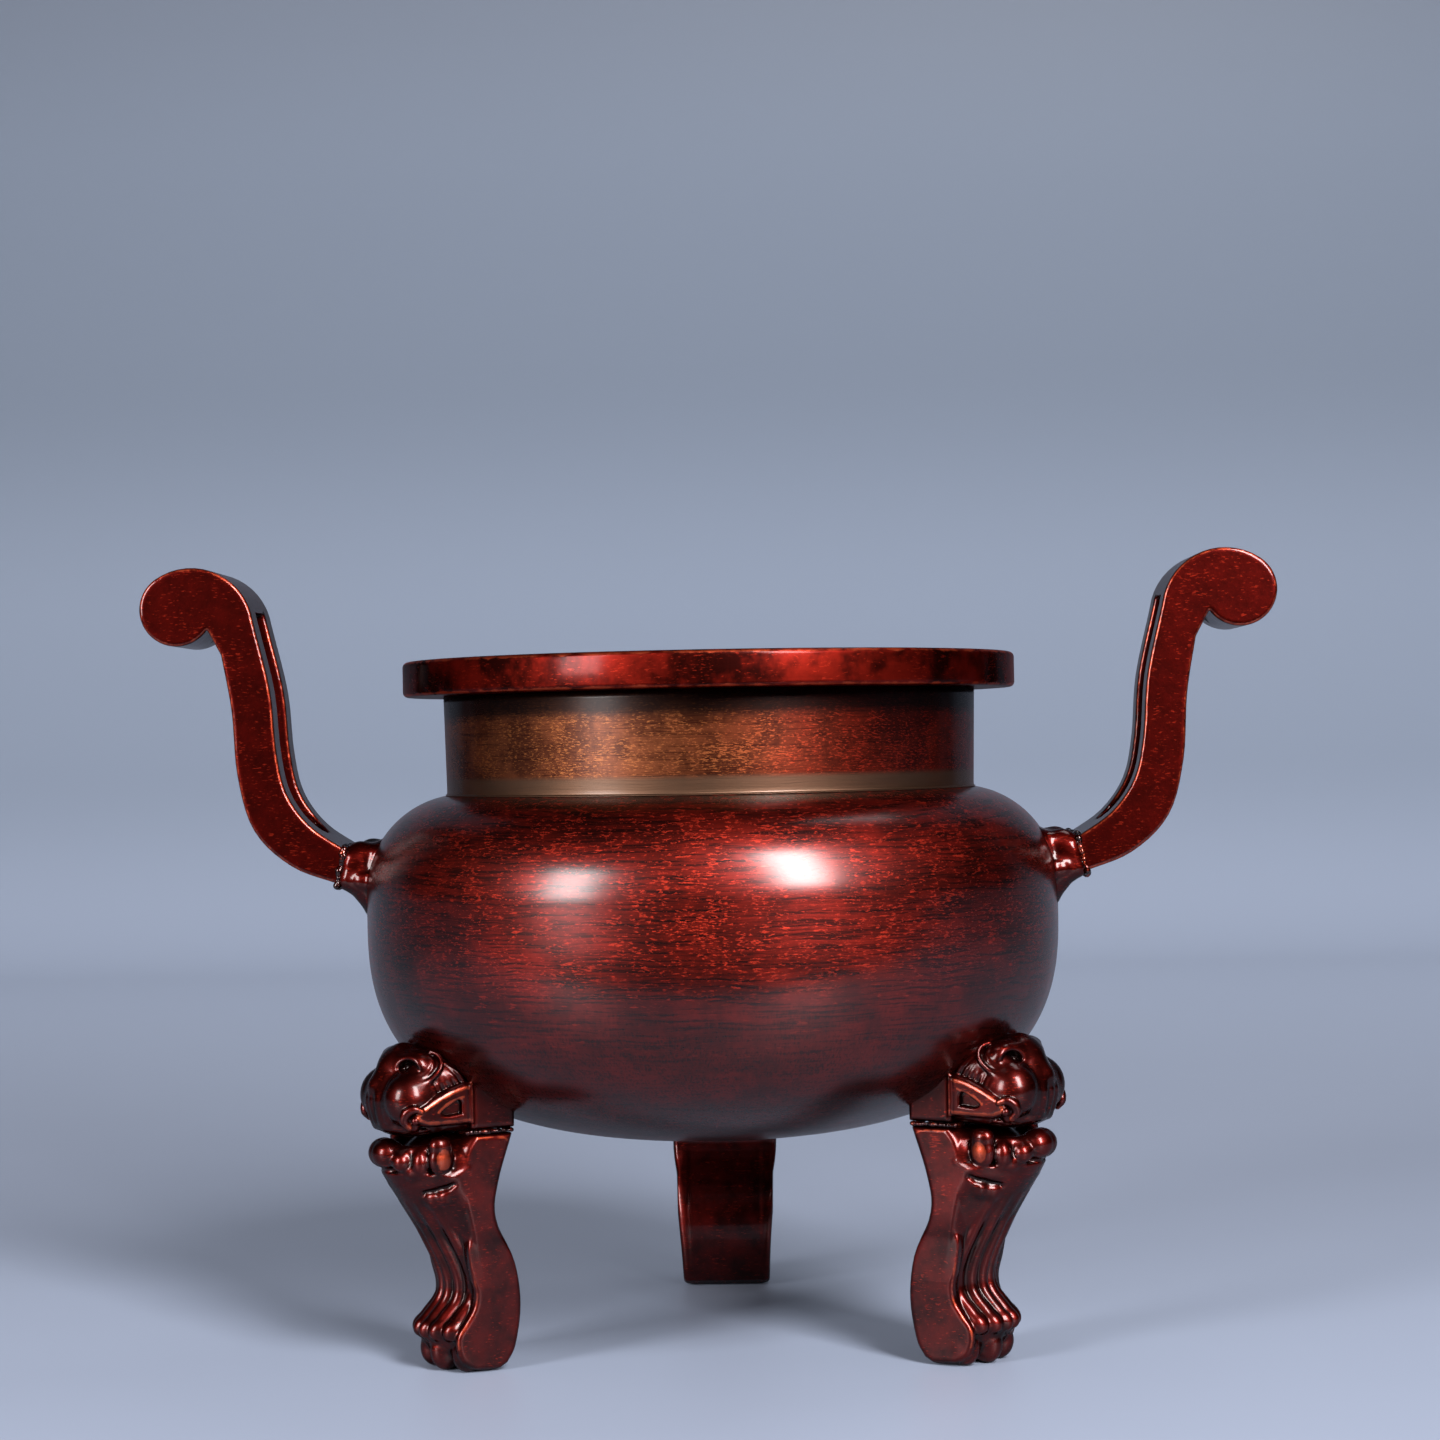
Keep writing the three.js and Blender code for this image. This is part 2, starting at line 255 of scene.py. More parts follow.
def belly_patina():
    bench = Patina("belly_patina")
    height = bench.along("Z")
    lines = bench.brush_lines(0.40)
    upright = bench.noise(0.3, 3.0, 0.6, bench.stretched(1.0, 0.08))
    low_share = bench.ramp(height, 58.0, 40.0)
    # Painted shade: the underside is painted a little darker.
    underside = bench.ramp(height, 58.0, 42.0)
    # Painted shade on the top of the shoulder where it meets the neck.
    neck_crease_shade = bench.ramp(height, 78.5, 80.4)
    strokes = lines + (upright - lines) * low_share * 0.6
    shards = bench.flecks(0.22, 4.0, 0.40) * bench.ramp(height, 50.0, 62.0, 0.1)
    specks = bench.flecks(0.6, 9.0, 0.05) * bench.ramp(height, 44.0, 60.0, 0.2)
    colour = bench.layered(
        OXBLOOD,
        (bench.ramp(bench.noise(7.0, 5.0), 0.36, 0.64), OXBLOOD_BRIGHT),
        (underside * 0.1, OXBLOOD_DARK),
        (bench.ramp(strokes, 0.53, 0.40) * 0.85, OXBLOOD_DARK),
        (neck_crease_shade * 0.6, OXBLOOD_DARK),
        (shards * 0.85, FLECK_RED),
        (specks * 0.9, FLECK_RED),
    )
    return bench.metal(colour, strokes * 0.18 + 0.38, strokes + shards * 0.3,
                       depth=0.06, coat=0.7, coat_roughness=0.24)


# %% [markdown]
# The neck was stained more lightly than the rest: brown and gold on the left, redder to the
# right, with orange flecks. Its lowest two millimetres were left plain and look like pale
# dull brass, and under the rim a painted shadow makes it nearly black.

# %% Neck patina
NECK_BROWN = (0.125, 0.034, 0.013)
NECK_RED = (0.095, 0.0080, 0.0038)
NECK_FLECK = (0.30, 0.095, 0.028)
NECK_FOOT = (0.090, 0.048, 0.029)


def neck_patina():
    bench = Patina("neck_patina")
    height = bench.along("Z")
    lines = bench.brush_lines(0.22)
    clouds = bench.noise(6.0, 5.0)
    foot = bench.ramp(height, neck_low.z + 3.0, neck_low.z + 2.0)
    # Painted shadow of the rim on the top of the neck.
    rim_shadow = bench.ramp(height, neck_high.z - 4.4, neck_high.z - 2.4)
    shards = bench.flecks(0.17, 4.0, 0.50) * (1.0 - foot)
    redness = bench.ramp(bench.along("X") + clouds * 20.0, 2.0, 34.0)
    colour = bench.layered(
        NECK_BROWN,
        (redness, NECK_RED),
        (bench.ramp(clouds, 0.58, 0.40) * 0.6, OXBLOOD_DARK),
        (bench.ramp(lines, 0.50, 0.36) * 0.6, OXBLOOD_DARK),
        (shards * 0.65, bench.layered(NECK_FLECK, (redness, FLECK_RED))),
        (foot * 0.9, NECK_FOOT),
        (rim_shadow * 0.9, SHADE_BLACK),
    )
    return bench.metal(colour, lines * 0.12 + 0.40, lines + shards * 0.25,
                       depth=0.02, coat=0.3, coat_roughness=0.25)


# %% [markdown]
# The rim is turned smooth and polished, so it has only faint lines and a few soft flecks.
# Its two edges are rubbed down to copper. The profile knows where they are, and hands it
# over as relief.

# %% Rim patina
def rim_patina():
    bench = Patina("rim_patina")
    lines = bench.brush_lines(0.5)
    clouds = bench.noise(7.0, 4.0)
    patchy = bench.noise(2.2, 3.0, 0.6)
    worn = bench.ramp(bench.attribute("relief") + (patchy - 0.5) * 1.6, 0.40, 0.85)
    colour = bench.layered(
        OXBLOOD_DARK,
        (bench.ramp(clouds, 0.38, 0.66), OXBLOOD_BRIGHT),
        (bench.flecks(0.24, 5.0, 0.22) * 0.45, FLECK_RED),
        (worn * 0.85, WORN_COPPER),
    )
    return bench.metal(colour, lines * 0.1 + 0.40, lines + clouds,
                       depth=0.006, coat=0.12, coat_roughness=0.15)


# %% [markdown]
# The ears are flat and glossy with a deep even red. The legs and heads are darker, and the
# relief does most of the work there: painted shade makes the hollows black, and a painted
# highlight makes the swells red. Edges that hands rub against carry one more attribute,
# rubbed, and are worn down to orange copper. Red specks lie over all of them. Everything above
# the shanks is painted darker: painted shade under the belly on the heads and collars; the
# ears lie wholly above, so their red is simply deeper all over.

# %% Ear, leg and braze patina
# Relief in mm below which hollows are fully painted shade.
HOLLOW_SHADE = 0.14


def cast_patina(slot, deep, main, bright, swell, gloss):
    """A finish for cast pieces. Swell is the relief, in mm, at which the painted highlight is
    full.
    """
    bench = Patina(slot)
    stands_out = bench.attribute("relief")
    clouds = bench.noise(3.5, 4.0, 0.6)
    grain = bench.noise(0.5, 4.0, 0.6)
    worn = bench.attribute("rubbed") + (bench.noise(1.1, 4.0) - 0.5) * 2.0
    colour = bench.layered(
        deep,
        (bench.ramp(clouds, 0.30, 0.70), main),
        # Painted highlight: swells are painted a brighter red.
        (bench.ramp(stands_out + (clouds - 0.5) * swell, 0.0, swell) * 0.8, bright),
        # Painted shade under the belly on heads and collars; the ears, wholly above, are deeper
        # all over.
        (bench.ramp(bench.along("Z"), 30.0, 40.0) * 0.45, deep),
        (bench.flecks(0.22, 3.0, 0.22) * 0.4, FLECK_RED),
        # Painted shade: hollows darkened towards near black.
        (bench.ramp(stands_out, HOLLOW_SHADE * -0.2, -HOLLOW_SHADE) * 0.8, SHADE_BLACK),
        (bench.ramp(worn, 0.45, 1.1) * 0.7, WORN_COPPER),
    )
    return bench.metal(colour, grain * 0.12 + 0.36, grain + clouds * 2.0,
                       depth=0.018, coat=0.4, coat_roughness=gloss)


def braze_copper():
    bench = Patina("braze_copper")
    grain = bench.noise(0.35, 4.0)
    clouds = bench.noise(1.6, 3.0, 0.6)
    rubbed = bench.ramp(clouds + (grain - 0.5) * 0.5, 0.54, 0.68)
    colour = bench.layered(
        OXBLOOD_DARK,
        (bench.ramp(clouds, 0.38, 0.62), OXBLOOD),
        (rubbed * 0.7, WORN_COPPER),
    )
    return bench.metal(colour, grain * 0.15 + 0.28, grain,
                       depth=0.02, coat=0.7, coat_roughness=0.12)


# Each triple is deep, main, and the painted highlight red for swells.
EAR_REDS = ((0.028, 0.0016, 0.0012), (0.062, 0.0024, 0.0016), (0.10, 0.0042, 0.0025))
LEG_REDS = ((0.020, 0.0016, 0.0012), (0.070, 0.0038, 0.0028), (0.110, 0.0052, 0.0032))
materials = {
    "belly_patina": belly_patina(),
    "neck_patina": neck_patina(),
    "rim_patina": rim_patina(),
    "ear_patina": cast_patina("ear_patina", *EAR_REDS, swell=0.30, gloss=0.12),
    "leg_patina": cast_patina("leg_patina", *LEG_REDS, swell=0.28, gloss=0.18),
    "braze_copper": braze_copper(),
}
print("materials", ", ".join(materials))

# %% [markdown]
# ## Turned pieces
#
# Belly, neck and rim are turned on a lathe: one outline swept round the axis. That is a
# rule, so Geometry Nodes can do it. The outline comes in as a row of points. A grid has one
# column for each outline point and one row for each step of the turn, and Set Position
# moves every grid point out to its radius and round by its angle. Merge by Distance then
# closes the seam and the poles.

# %% The lathe
MERGE_DISTANCE = 1e-6


def new_tree(name, **sizes):
    """A Geometry Nodes tree with a Geometry input, and a named number for each size."""
    tree = bpy.data.node_groups.new(name, "GeometryNodeTree")
    tree.interface.new_socket("Geometry", in_out="OUTPUT", socket_type="NodeSocketGeometry")
    for size, kind in {"Geometry": "Geometry", **sizes}.items():
        tree.interface.new_socket(size, in_out="INPUT", socket_type="NodeSocket" + kind)
    group = tree.nodes.new("NodeGroupInput")
    bench = Bench(tree)
    return bench, {socket.name: Value(bench, socket) for socket in group.outputs if socket.name}


def finished_tree(bench, geometry, material):
    """The tree, after smooth shading and the material as its last nodes."""
    smooth = bench.add("GeometryNodeSetShadeSmooth", {"Geometry": geometry})
    dressed = bench.add("GeometryNodeSetMaterial", {"Geometry": smooth, "Material": material})
    bench.add("NodeGroupOutput", {0: dressed})
    return bench.tree


def lathe_tree(material):
    bench, given = new_tree("lathe_" + material.name, Steps="Int")
    steps, outline = given["Steps"], given["Geometry"]
    count = bench.add("GeometryNodeAttributeDomainSize", {0: outline}, "Point Count")
    grid = bench.add("GeometryNodeMeshGrid", {"Vertices X": steps + 1, "Vertices Y": count})
    index = bench.add("GeometryNodeInputIndex")
    row = bench.math("FLOOR", (index + 0.5) / count)
    angle = row / steps * math.tau
    column = index - row * count

    def looked_up(value, kind):
        """What the outline says about the point of this column."""
        inputs = {"Geometry": outline, "Index": column, "Value": value}
        return bench.add("GeometryNodeSampleIndex", inputs, data_type=kind)

    point = looked_up(bench.add("GeometryNodeInputPosition"), "FLOAT_VECTOR")
    wear = looked_up(bench.add("GeometryNodeInputNamedAttribute", {"Name": "relief"}), "FLOAT")
    radius = bench.part(point, "X")
    place = bench.add("ShaderNodeCombineXYZ", {
        "X": radius * bench.math("COSINE", angle),
        "Y": radius * bench.math("SINE", angle) + axis_y * MM,
        "Z": bench.part(point, "Z"),
    })
    marked = bench.add("GeometryNodeStoreNamedAttribute",
                       {"Geometry": grid, "Name": "relief", "Value": wear})
    turned = bench.add("GeometryNodeSetPosition", {"Geometry": marked, "Position": place})
    closed = bench.add("GeometryNodeMergeByDistance",
                       {"Geometry": turned, "Distance": MERGE_DISTANCE})
    return finished_tree(bench, closed, material)


def run_nodes(name, start_mesh, tree, sizes):
    """The plain mesh that a tree makes of a start mesh, with its sizes set by identifier."""
    start = put_in_scene(name + "_start", start_mesh)
    modifier = start.modifiers.new("nodes", "NODES")
    modifier.node_group = tree
    for item in tree.interface.items_tree:
        if item.in_out == "INPUT" and item.name in sizes:
            modifier[item.identifier] = sizes[item.name]
    evaluated = start.evaluated_get(bpy.context.evaluated_depsgraph_get())
    mesh = bpy.data.meshes.new_from_object(evaluated)
    start.modifiers.clear()
    bpy.data.objects.remove(start)
    mesh.name = name
    return put_in_scene(name, mesh)


def new_mesh(name, points, edges=(), faces=(), **numbers):
    """A mesh of points in metres, with a number on each point for every named attribute."""
    mesh = bpy.data.meshes.new(name)
    mesh.from_pydata(points, edges, faces)
    for attribute, values in numbers.items():
        mesh.attributes.new(attribute, "FLOAT", "POINT").data.foreach_set("value", values)
    return mesh


def settle(piece, slot, *nodes):
    """Hangs a finished piece under the root body and hides the nodes it stands for. The slot is
    not used.
    """
    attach(piece, "root")
    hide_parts(*nodes)
    piece.data.calc_loop_triangles()
    print(piece.name, len(piece.data.loop_triangles), "triangles")


# %% [markdown]
# The outlines are made of the curves that a maker would draw. The underside of the belly is
# a superellipse, squarer than a circle, and the shoulder is a quarter circle above it. The
# same formula moved in by the wall gives the inside.

# %% Outlines
wall = 3.2
belly_low, belly_high = (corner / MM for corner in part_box("bowl"))
rim_low, rim_high = (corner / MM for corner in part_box("rim_flange"))
belly_radius = (belly_high.x - belly_low.x) / 2
rim_radius = (rim_high.x - rim_low.x) / 2
belly_equator = 66.0
underside_centre = 62.0
underside_power = 2.65
shoulder_radius = 14.25
mouth_radius = 35.3
neck_radius = 38.8
neck_top_radius = 39.1
turn_steps = 256


def arc(centre, radius, start, end, steps):
    """Points on a circle from one angle in degrees to another."""
    angles = np.radians(np.linspace(start, end, steps))
    return np.stack([centre[0] + radius * np.cos(angles), centre[1] + radius * np.sin(angles)], 1)


def belly_outline(inset, end_radius):
    """The belly's outline from the axis up to a radius, moved in by an inset."""
    angles = np.radians(np.linspace(90, 0, 70))[:-1]
    power = 2 / underside_power
    drop = underside_centre - belly_low.z - inset
    r = (belly_radius - inset) * np.abs(np.cos(angles)) ** power
    z = underside_centre - drop * np.sin(angles) ** power
    r[0] = 0.0
    centre = (belly_radius - shoulder_radius, belly_equator)
    radius = shoulder_radius - inset
    end = math.degrees(math.acos((end_radius - centre[0]) / radius))
    return np.concatenate([np.stack([r, z], 1), arc(centre, radius, 0, end, 30)])


def turned_piece(node, outline, slot, wear=0.0):
    """The piece for a node, turned from its outline, with wear as its relief."""
    points = [(r * MM, 0, z * MM) for r, z in outline]
    start = new_mesh(node + "_outline", points, relief=np.zeros(len(outline)) + wear)
    tree = lathe_tree(materials[slot])
    settle(run_nodes("turned_" + node, start, tree, {"Steps": turn_steps}), slot, node)


belly_outside = belly_outline(0, neck_radius)
seam = 0.25
overlap = 0.1
belly_section = np.concatenate([
    belly_outside[:-1],
    [(neck_radius + overlap, belly_high.z - 0.02), (neck_radius - seam, belly_high.z - overlap),
     (mouth_radius, belly_high.z - overlap)],
    belly_outline(wall, mouth_radius)[::-1],
])
turned_piece("bowl", belly_section, "belly_patina")

# %% Neck and rim
neck_foot, neck_top = neck_low.z - overlap, neck_high.z + overlap / 2
foot_edge = 0.32
neck_section = np.concatenate([
    [(mouth_radius, neck_foot), (neck_radius - overlap, neck_foot)],
    arc((neck_radius + foot_edge, neck_low.z + foot_edge + 0.1), foot_edge, 262, 180, 6),
    np.linspace((neck_radius, neck_low.z + 0.9), (neck_top_radius, neck_top), 14),
    [(mouth_radius, neck_top), (mouth_radius, neck_foot)],
])
turned_piece("neck_ring", neck_section, "neck_patina")

rim_edge = 0.75
lip_edge = 0.5
rim_inner = mouth_radius + lip_edge + 0.3
rim_outer = rim_radius - rim_edge - 0.4
quarter = 8
rim_section = np.concatenate([
    [(mouth_radius, rim_low.z)],
    np.linspace((neck_radius, rim_low.z), (rim_outer, rim_low.z), 6),
    arc((rim_radius - rim_edge, rim_low.z + rim_edge), rim_edge, -90, 0, quarter),
    arc((rim_radius - rim_edge, rim_high.z - rim_edge), rim_edge, 0, 90, quarter),
    np.linspace((rim_outer, rim_high.z), (rim_inner, rim_high.z), 8),
    arc((mouth_radius + lip_edge, rim_high.z - lip_edge), lip_edge, 90, 180, quarter),
    [(mouth_radius, rim_low.z)],
])
rim_corners = [np.array((rim_radius, height)) for height in (rim_low.z, rim_high.z)]
from_edge = np.min([np.hypot(*(rim_section - corner).T) for corner in rim_corners], axis=0)
rim_wear = np.clip(1.35 - from_edge / 0.5, 0, 1)
turned_piece("rim_flange", rim_section, "rim_patina", rim_wear)

# %% [markdown]
# ## Modelling in clay
#
# The cast pieces are carved, with beads, curls and hollows that run into each other. They
# could be sculpted by hand, but a script needs something it can repeat. So each piece is a
# distance field: a block of numbers that say how far each spot is from the surface,
# negative inside. Adding a shape takes the smaller distance, carving takes the larger, and a
# little softness melts the joint, as a thumb would. Both halves of a piece are alike, so
# only one is modelled, and then mirrored.

# %% Clay
Shape = namedtuple("Shape", "distance low high")
FAR = 50.0


def melt(first, second, soft):
    """The smaller of two distances, rounded off where they are nearly the same."""
    least = np.minimum(first, second)
    if soft == 0:
        return least
    overlap = np.maximum(soft - np.abs(first - second), 0) / soft
    return least - overlap * overlap * soft / 4


class Clay:
    """A block of space from low to high, with y from the middle plane outwards."""

    def __init__(self, low, high, cell):
        self.cell = cell
        self.axes = [np.arange(a, b + cell, cell, dtype=np.float32) for a, b in zip(low, high)]
        self.field = np.full([len(axis) for axis in self.axes], FAR, np.float32)

    def window(self, shape, soft):
        spare = soft + 2 * self.cell
        spans = tuple(slice(*np.searchsorted(axis, (low - spare, high + spare)))
                      for axis, low, high in zip(self.axes, shape.low, shape.high))
        x, y, z = (axis[span] for axis, span in zip(self.axes, spans))
        return spans, shape.distance(x[:, None, None], y[None, :, None], z[None, None, :])

    def add(self, shape, soft=0.3):
        spans, distance = self.window(shape, soft)
        self.field[spans] = melt(self.field[spans], distance, soft)

    def carve(self, shape, soft=0.2):
        spans, distance = self.window(shape, soft)
        self.field[spans] = -melt(-self.field[spans], distance, soft)

    def mirrored(self):
        """The whole field and its lowest corner."""
        field = np.concatenate([self.field[:, :0:-1], self.field], axis=1)
        low = [axis[0] for axis in self.axes]
        low[1] = -self.axes[1][-1]
        return field, np.array(low, np.float32)


# %% [markdown]
# Four kinds of shape are enough. A ball may be stretched along each axis. A rope follows a
# smooth path and changes its thickness on the way. A plate is an outline in the x-z plane
# with a thickness along y, rounded edges, and optionally a front that lies back towards
# the sides. The last kind is turned: an outline swept round the axis, like the bowl.

# %% Shapes
def ball(centre, radii):
    centre, radii = np.asarray(centre, float), np.broadcast_to(radii, 3).astype(float)

    def distance(*place):
        steps = [(value - c) / r for value, c, r in zip(place, centre, radii)]
        size = np.sqrt(sum(step ** 2 for step in steps))
        slope = np.sqrt(sum((step / r) ** 2 for step, r in zip(steps, radii)))
        return size * (size - 1) / np.maximum(slope, 1e-6)

    return Shape(distance, centre - radii, centre + radii)


CURVE_RULE = np.array([(0, 2, 0, 0), (-1, 0, 1, 0), (2, -5, 4, -1), (-1, 3, -3, 1)]) / 2


def through(points, steps=5):
    """A smooth curve through points, as more points. Each part looks at four of them."""
    points = np.asarray(points, float)
    ends = np.concatenate([[2 * points[0] - points[1]], points, [2 * points[-1] - points[-2]]])
    powers = np.linspace(0, 1, steps, endpoint=False)[:, None] ** np.arange(4)
    parts = [powers @ CURVE_RULE @ ends[i:i + 4] for i in range(len(points) - 1)]
    return np.concatenate([*parts, points[-1:]])


def rope(path, thickness, steps=5):
    """A round rope. Thickness is its radius, one for all or one for each point."""
    points = through(path, steps)
    known = np.broadcast_to(thickness, len(path)).astype(float)
    radii = np.interp(np.linspace(0, 1, len(points)), np.linspace(0, 1, len(path)), known)

    def distance(*place):
        least = None
        for start, end, r_start, r_end in zip(points, points[1:], radii, radii[1:]):
            along = end - start
            reach = sum((value - s) * a for value, s, a in zip(place, start, along))
            share = np.clip(reach / max(along @ along, 1e-9), 0, 1)
            gap = np.sqrt(sum((value - s - share * a) ** 2
                              for value, s, a in zip(place, start, along)))
            gap = gap - (r_start + share * (r_end - r_start))
            least = gap if least is None else np.minimum(least, gap)
        return least

    return Shape(distance, points.min(0) - known.max(), points.max(0) + known.max())


def outline_distance(outline, x, z):
    """How far points are outside a closed outline, negative inside."""
    least, inside = FAR ** 2, False
    for (ax, az), (bx, bz) in zip(outline, np.roll(outline, -1, axis=0)):
        ex, ez = bx - ax, bz - az
        share = np.clip(((x - ax) * ex + (z - az) * ez) / max(ex * ex + ez * ez, 1e-9), 0, 1)
        least = np.minimum(least, (x - ax - share * ex) ** 2 + (z - az - share * ez) ** 2)
        if az != bz:
            inside = inside ^ (((az > z) != (bz > z)) & (x < ex * (z - az) / ez + ax))
    return np.sqrt(least) * np.where(inside, -1, 1)


TABLE_STEP = 0.1


def from_table(outline, first, x, z):
    """Distances to an outline, read between the rows of a table that starts at first."""
    rows = np.arange(first, x.max() + 3 * TABLE_STEP, TABLE_STEP)
    table = outline_distance(outline, rows[:, None], z[0, 0][None, :])
    row = np.clip((x - first) / TABLE_STEP, 0, len(table) - 1.001)
    whole = row.astype(int)
    share = (row - whole)[..., None]
    return table[whole] * (1 - share) + table[whole + 1] * share


def rounded(flat, side, edge):
    """The distance to a solid from those to its outline and to its faces."""
    flat, side = flat + edge, side + edge
    outside = np.hypot(np.maximum(flat, 0), np.maximum(side, 0))
    return outside + np.minimum(np.maximum(flat, side), 0) - edge


PAST_MIDDLE = -1
HEIGHT_ENDS = np.array([0.0, 50.0])
LEAN_START, LEAN_SPAN = 40, 4


def plate(outline, y_low, y_high, edge=0.3, set_back=0.0):
    """An outline made thick. y_high may be a function of the height. y_low is PAST_MIDDLE
    for a plate that reaches across the middle plane."""
    outline = np.asarray(outline, float)
    top = y_high if callable(y_high) else lambda height: y_high + 0 * height
    widest = top(HEIGHT_ENDS).max()
    (x_low, z_low), (x_high, z_high) = outline.min(0), outline.max(0)

    def distance(x, y, z):
        lean = set_back * y ** 2 * np.clip((x - LEAN_START) / LEAN_SPAN, 0, 1)
        flat = from_table(outline, x.min(), (x + lean)[:, :, 0], z)
        return rounded(flat, np.maximum(y_low - y, y - top(z)), edge)

    low = (x_low - set_back * widest ** 2, y_low, z_low)
    return Shape(distance, low, (x_high, widest, z_high))


def turned(outline):
    """The solid that a closed outline of radius and height sweeps round the axis."""
    outline = np.asarray(outline, float)
    reach, top = outline.max(0)

    def distance(x, y, z):
        radius = np.sqrt(x ** 2 + y ** 2)[:, :, 0]
        return from_table(outline, radius.min(), radius, z)

    return Shape(distance, (-reach, -reach, outline[:, 1].min()), (reach, reach, top))


# %% [markdown]
# The clay is then fired: its surface becomes a mesh. This is the surface nets way. Every
# grid cell that the surface passes through gets one vertex, at the middle of the points
# where the surface crosses the cell's edges, and each crossed edge joins its four cells with
# one quad. Two steps along the slope of the field bring the vertices onto the surface.

# %% Surface nets
def sampled(field, grid_points):
    """The field between its grid points."""
    whole = np.clip(np.floor(grid_points).astype(int), 0, np.array(field.shape) - 2)
    share = grid_points - whole
    total = 0
    for corner in itertools.product((0, 1), repeat=3):
        weight = np.prod(np.where(corner, share, 1 - share), axis=1)
        total = total + weight * field[tuple((whole + corner).T)]
    return total


def onto_surface(field, grid_points):
    probe = 0.5
    slope = np.stack([sampled(field, grid_points + probe * axis)
                      - sampled(field, grid_points - probe * axis) for axis in np.eye(3)], 1)
    size = np.maximum((slope ** 2).sum(1), 1e-8)
    move = slope * (sampled(field, grid_points) / size)[:, None]
    return grid_points - np.clip(move, -0.5, 0.5)


def skin(field, low, cell):
    """The surface of a field, as points in millimetres and quads that face outwards."""
    cells = np.array(field.shape) - 1
    total = np.zeros((3, *cells), np.float32)
    count = np.zeros(cells, np.int8)
    crossed = []
    for axis in range(3):
        samples = np.moveaxis(field, axis, 0)
        first, second = samples[:-1], samples[1:]
        crosses = (first < 0) != (second < 0)
        share = np.where(crosses, first / np.where(crosses, first - second, 1), 0)
        others = [other for other in range(3) if other != axis]
        wide, high = (cells[other] for other in others)
        sums = [np.moveaxis(total[part], axis, 0) for part in (axis, *others)]
        counts = np.moveaxis(count, axis, 0)
        for i, j in itertools.product((0, 1), repeat=2):
            here = (slice(None), slice(i, i + wide), slice(j, j + high))
            sums[0] += share[here]
            sums[1] += i * crosses[here]
            sums[2] += j * crosses[here]
            counts += crosses[here]
        crossed.append((crosses, first < 0))
    used = np.argwhere(count > 0)
    grid_points = used + (total[:, count > 0] / count[count > 0]).T
    for _ in range(2):
        grid_points = onto_surface(field, grid_points)
    number = np.full(cells, -1)
    number[tuple(used.T)] = np.arange(len(used))
    quads = []
    for axis, (crosses, starts_inside) in enumerate(crossed):
        numbers = np.moveaxis(number, axis, 0)
        i, j, k = np.nonzero(crosses[:, 1:-1, 1:-1])
        ring = [numbers[i, j, k], numbers[i, j + 1, k],
                numbers[i, j + 1, k + 1], numbers[i, j, k + 1]]
        outward = starts_inside[i, j + 1, k + 1] != (axis == 1)
        quad = np.stack(ring, 1)
        quads.append(np.where(outward[:, None], quad, quad[:, ::-1]))
    return low + cell * grid_points, np.concatenate(quads)


# %% [markdown]
# The painted shade in hollows and the painted highlight on swells need to know what stands
# out. The mesh is smoothed by averaging each point with its neighbours a number of times, and
# the relief is how far the real surface lies above the smoothed one. More passes see broader
# shapes. Rubbed edges are drawn as ropes along them: a point counts as rubbed when it lies
# inside a rope, and less so up to a short way outside.

# %% Relief
def sums_by(number, rows, length):
    """The sum of all rows that have the same number, for each number up to length."""
    return np.stack([np.bincount(number, column, length) for column in rows.T], 1)


def relief_of(points, faces, passes):
    across = np.cross(points[faces[:, 2]] - points[faces[:, 0]],
                      points[faces[:, 3]] - points[faces[:, 1]])
    normals = sum(sums_by(corner, across, len(points)) for corner in faces.T)
    normals /= np.maximum(np.linalg.norm(normals, axis=1), 1e-9)[:, None]
    edges = np.stack([faces.ravel(), np.roll(faces, -1, axis=1).ravel()], 1)
    here, there = np.unique(np.concatenate([edges, edges[:, ::-1]]), axis=0).T
    neighbours = np.maximum(np.bincount(here, minlength=len(points)), 1)[:, None]
    smooth = points
    for _ in range(passes):
        smooth = sums_by(here, smooth[there], len(points)) / neighbours
    return ((points - smooth) * normals).sum(1)


def rubbed_by(points, ropes, fade=0.3):
    """How rubbed each point is, from 0 to 1, for ropes drawn on the half where y is positive."""
    x, y, z = points.T
    least = np.full(len(points), FAR)
    for shape in ropes:
        near = (x > shape.low[0] - fade) & (x < shape.high[0] + fade)
        least[near] = np.minimum(least[near], shape.distance(x[near], np.abs(y[near]), z[near]))
    return np.clip(1 - least / fade, 0, 1)


Cast = namedtuple("Cast", "points faces relief rubbed")


def fire(clay, passes, rubbed=()):
    """The cast that a clay gives, rubbed where shapes say so."""
    points, faces = skin(*clay.mirrored(), clay.cell)
    return Cast(points, faces, relief_of(points, faces, passes), rubbed_by(points, rubbed))


def turned_about_axis(points, degrees):
    """Points in millimetres, turned about the burner's axis and changed to metres."""
    x, y, z = np.asarray(points, float).T
    cosine, sine = math.cos(math.radians(degrees)), math.sin(math.radians(degrees))
    turned_points = [x * cosine - y * sine, x * sine + y * cosine + axis_y, z]
    return (np.stack(turned_points, 1) * MM).tolist()


def cast_piece(node, cast, degrees, slot):
    """The piece that stands for a node, from a cast turned to its place."""
    mesh = new_mesh("cast_" + node, turned_about_axis(cast.points, degrees), (),
                    cast.faces.tolist(), relief=cast.relief, rubbed=cast.rubbed)
    mesh.shade_smooth()
    mesh.materials.append(materials[slot])
    settle(put_in_scene(mesh.name, mesh), slot, node)


# %% [markdown]
# ## The ears
#
# Each ear is one flat S that ends in a curl, cut through by a slot that leaves a front and a
# rear bar. Its outline goes up the inner edge, round the curl and back down the outer edge.

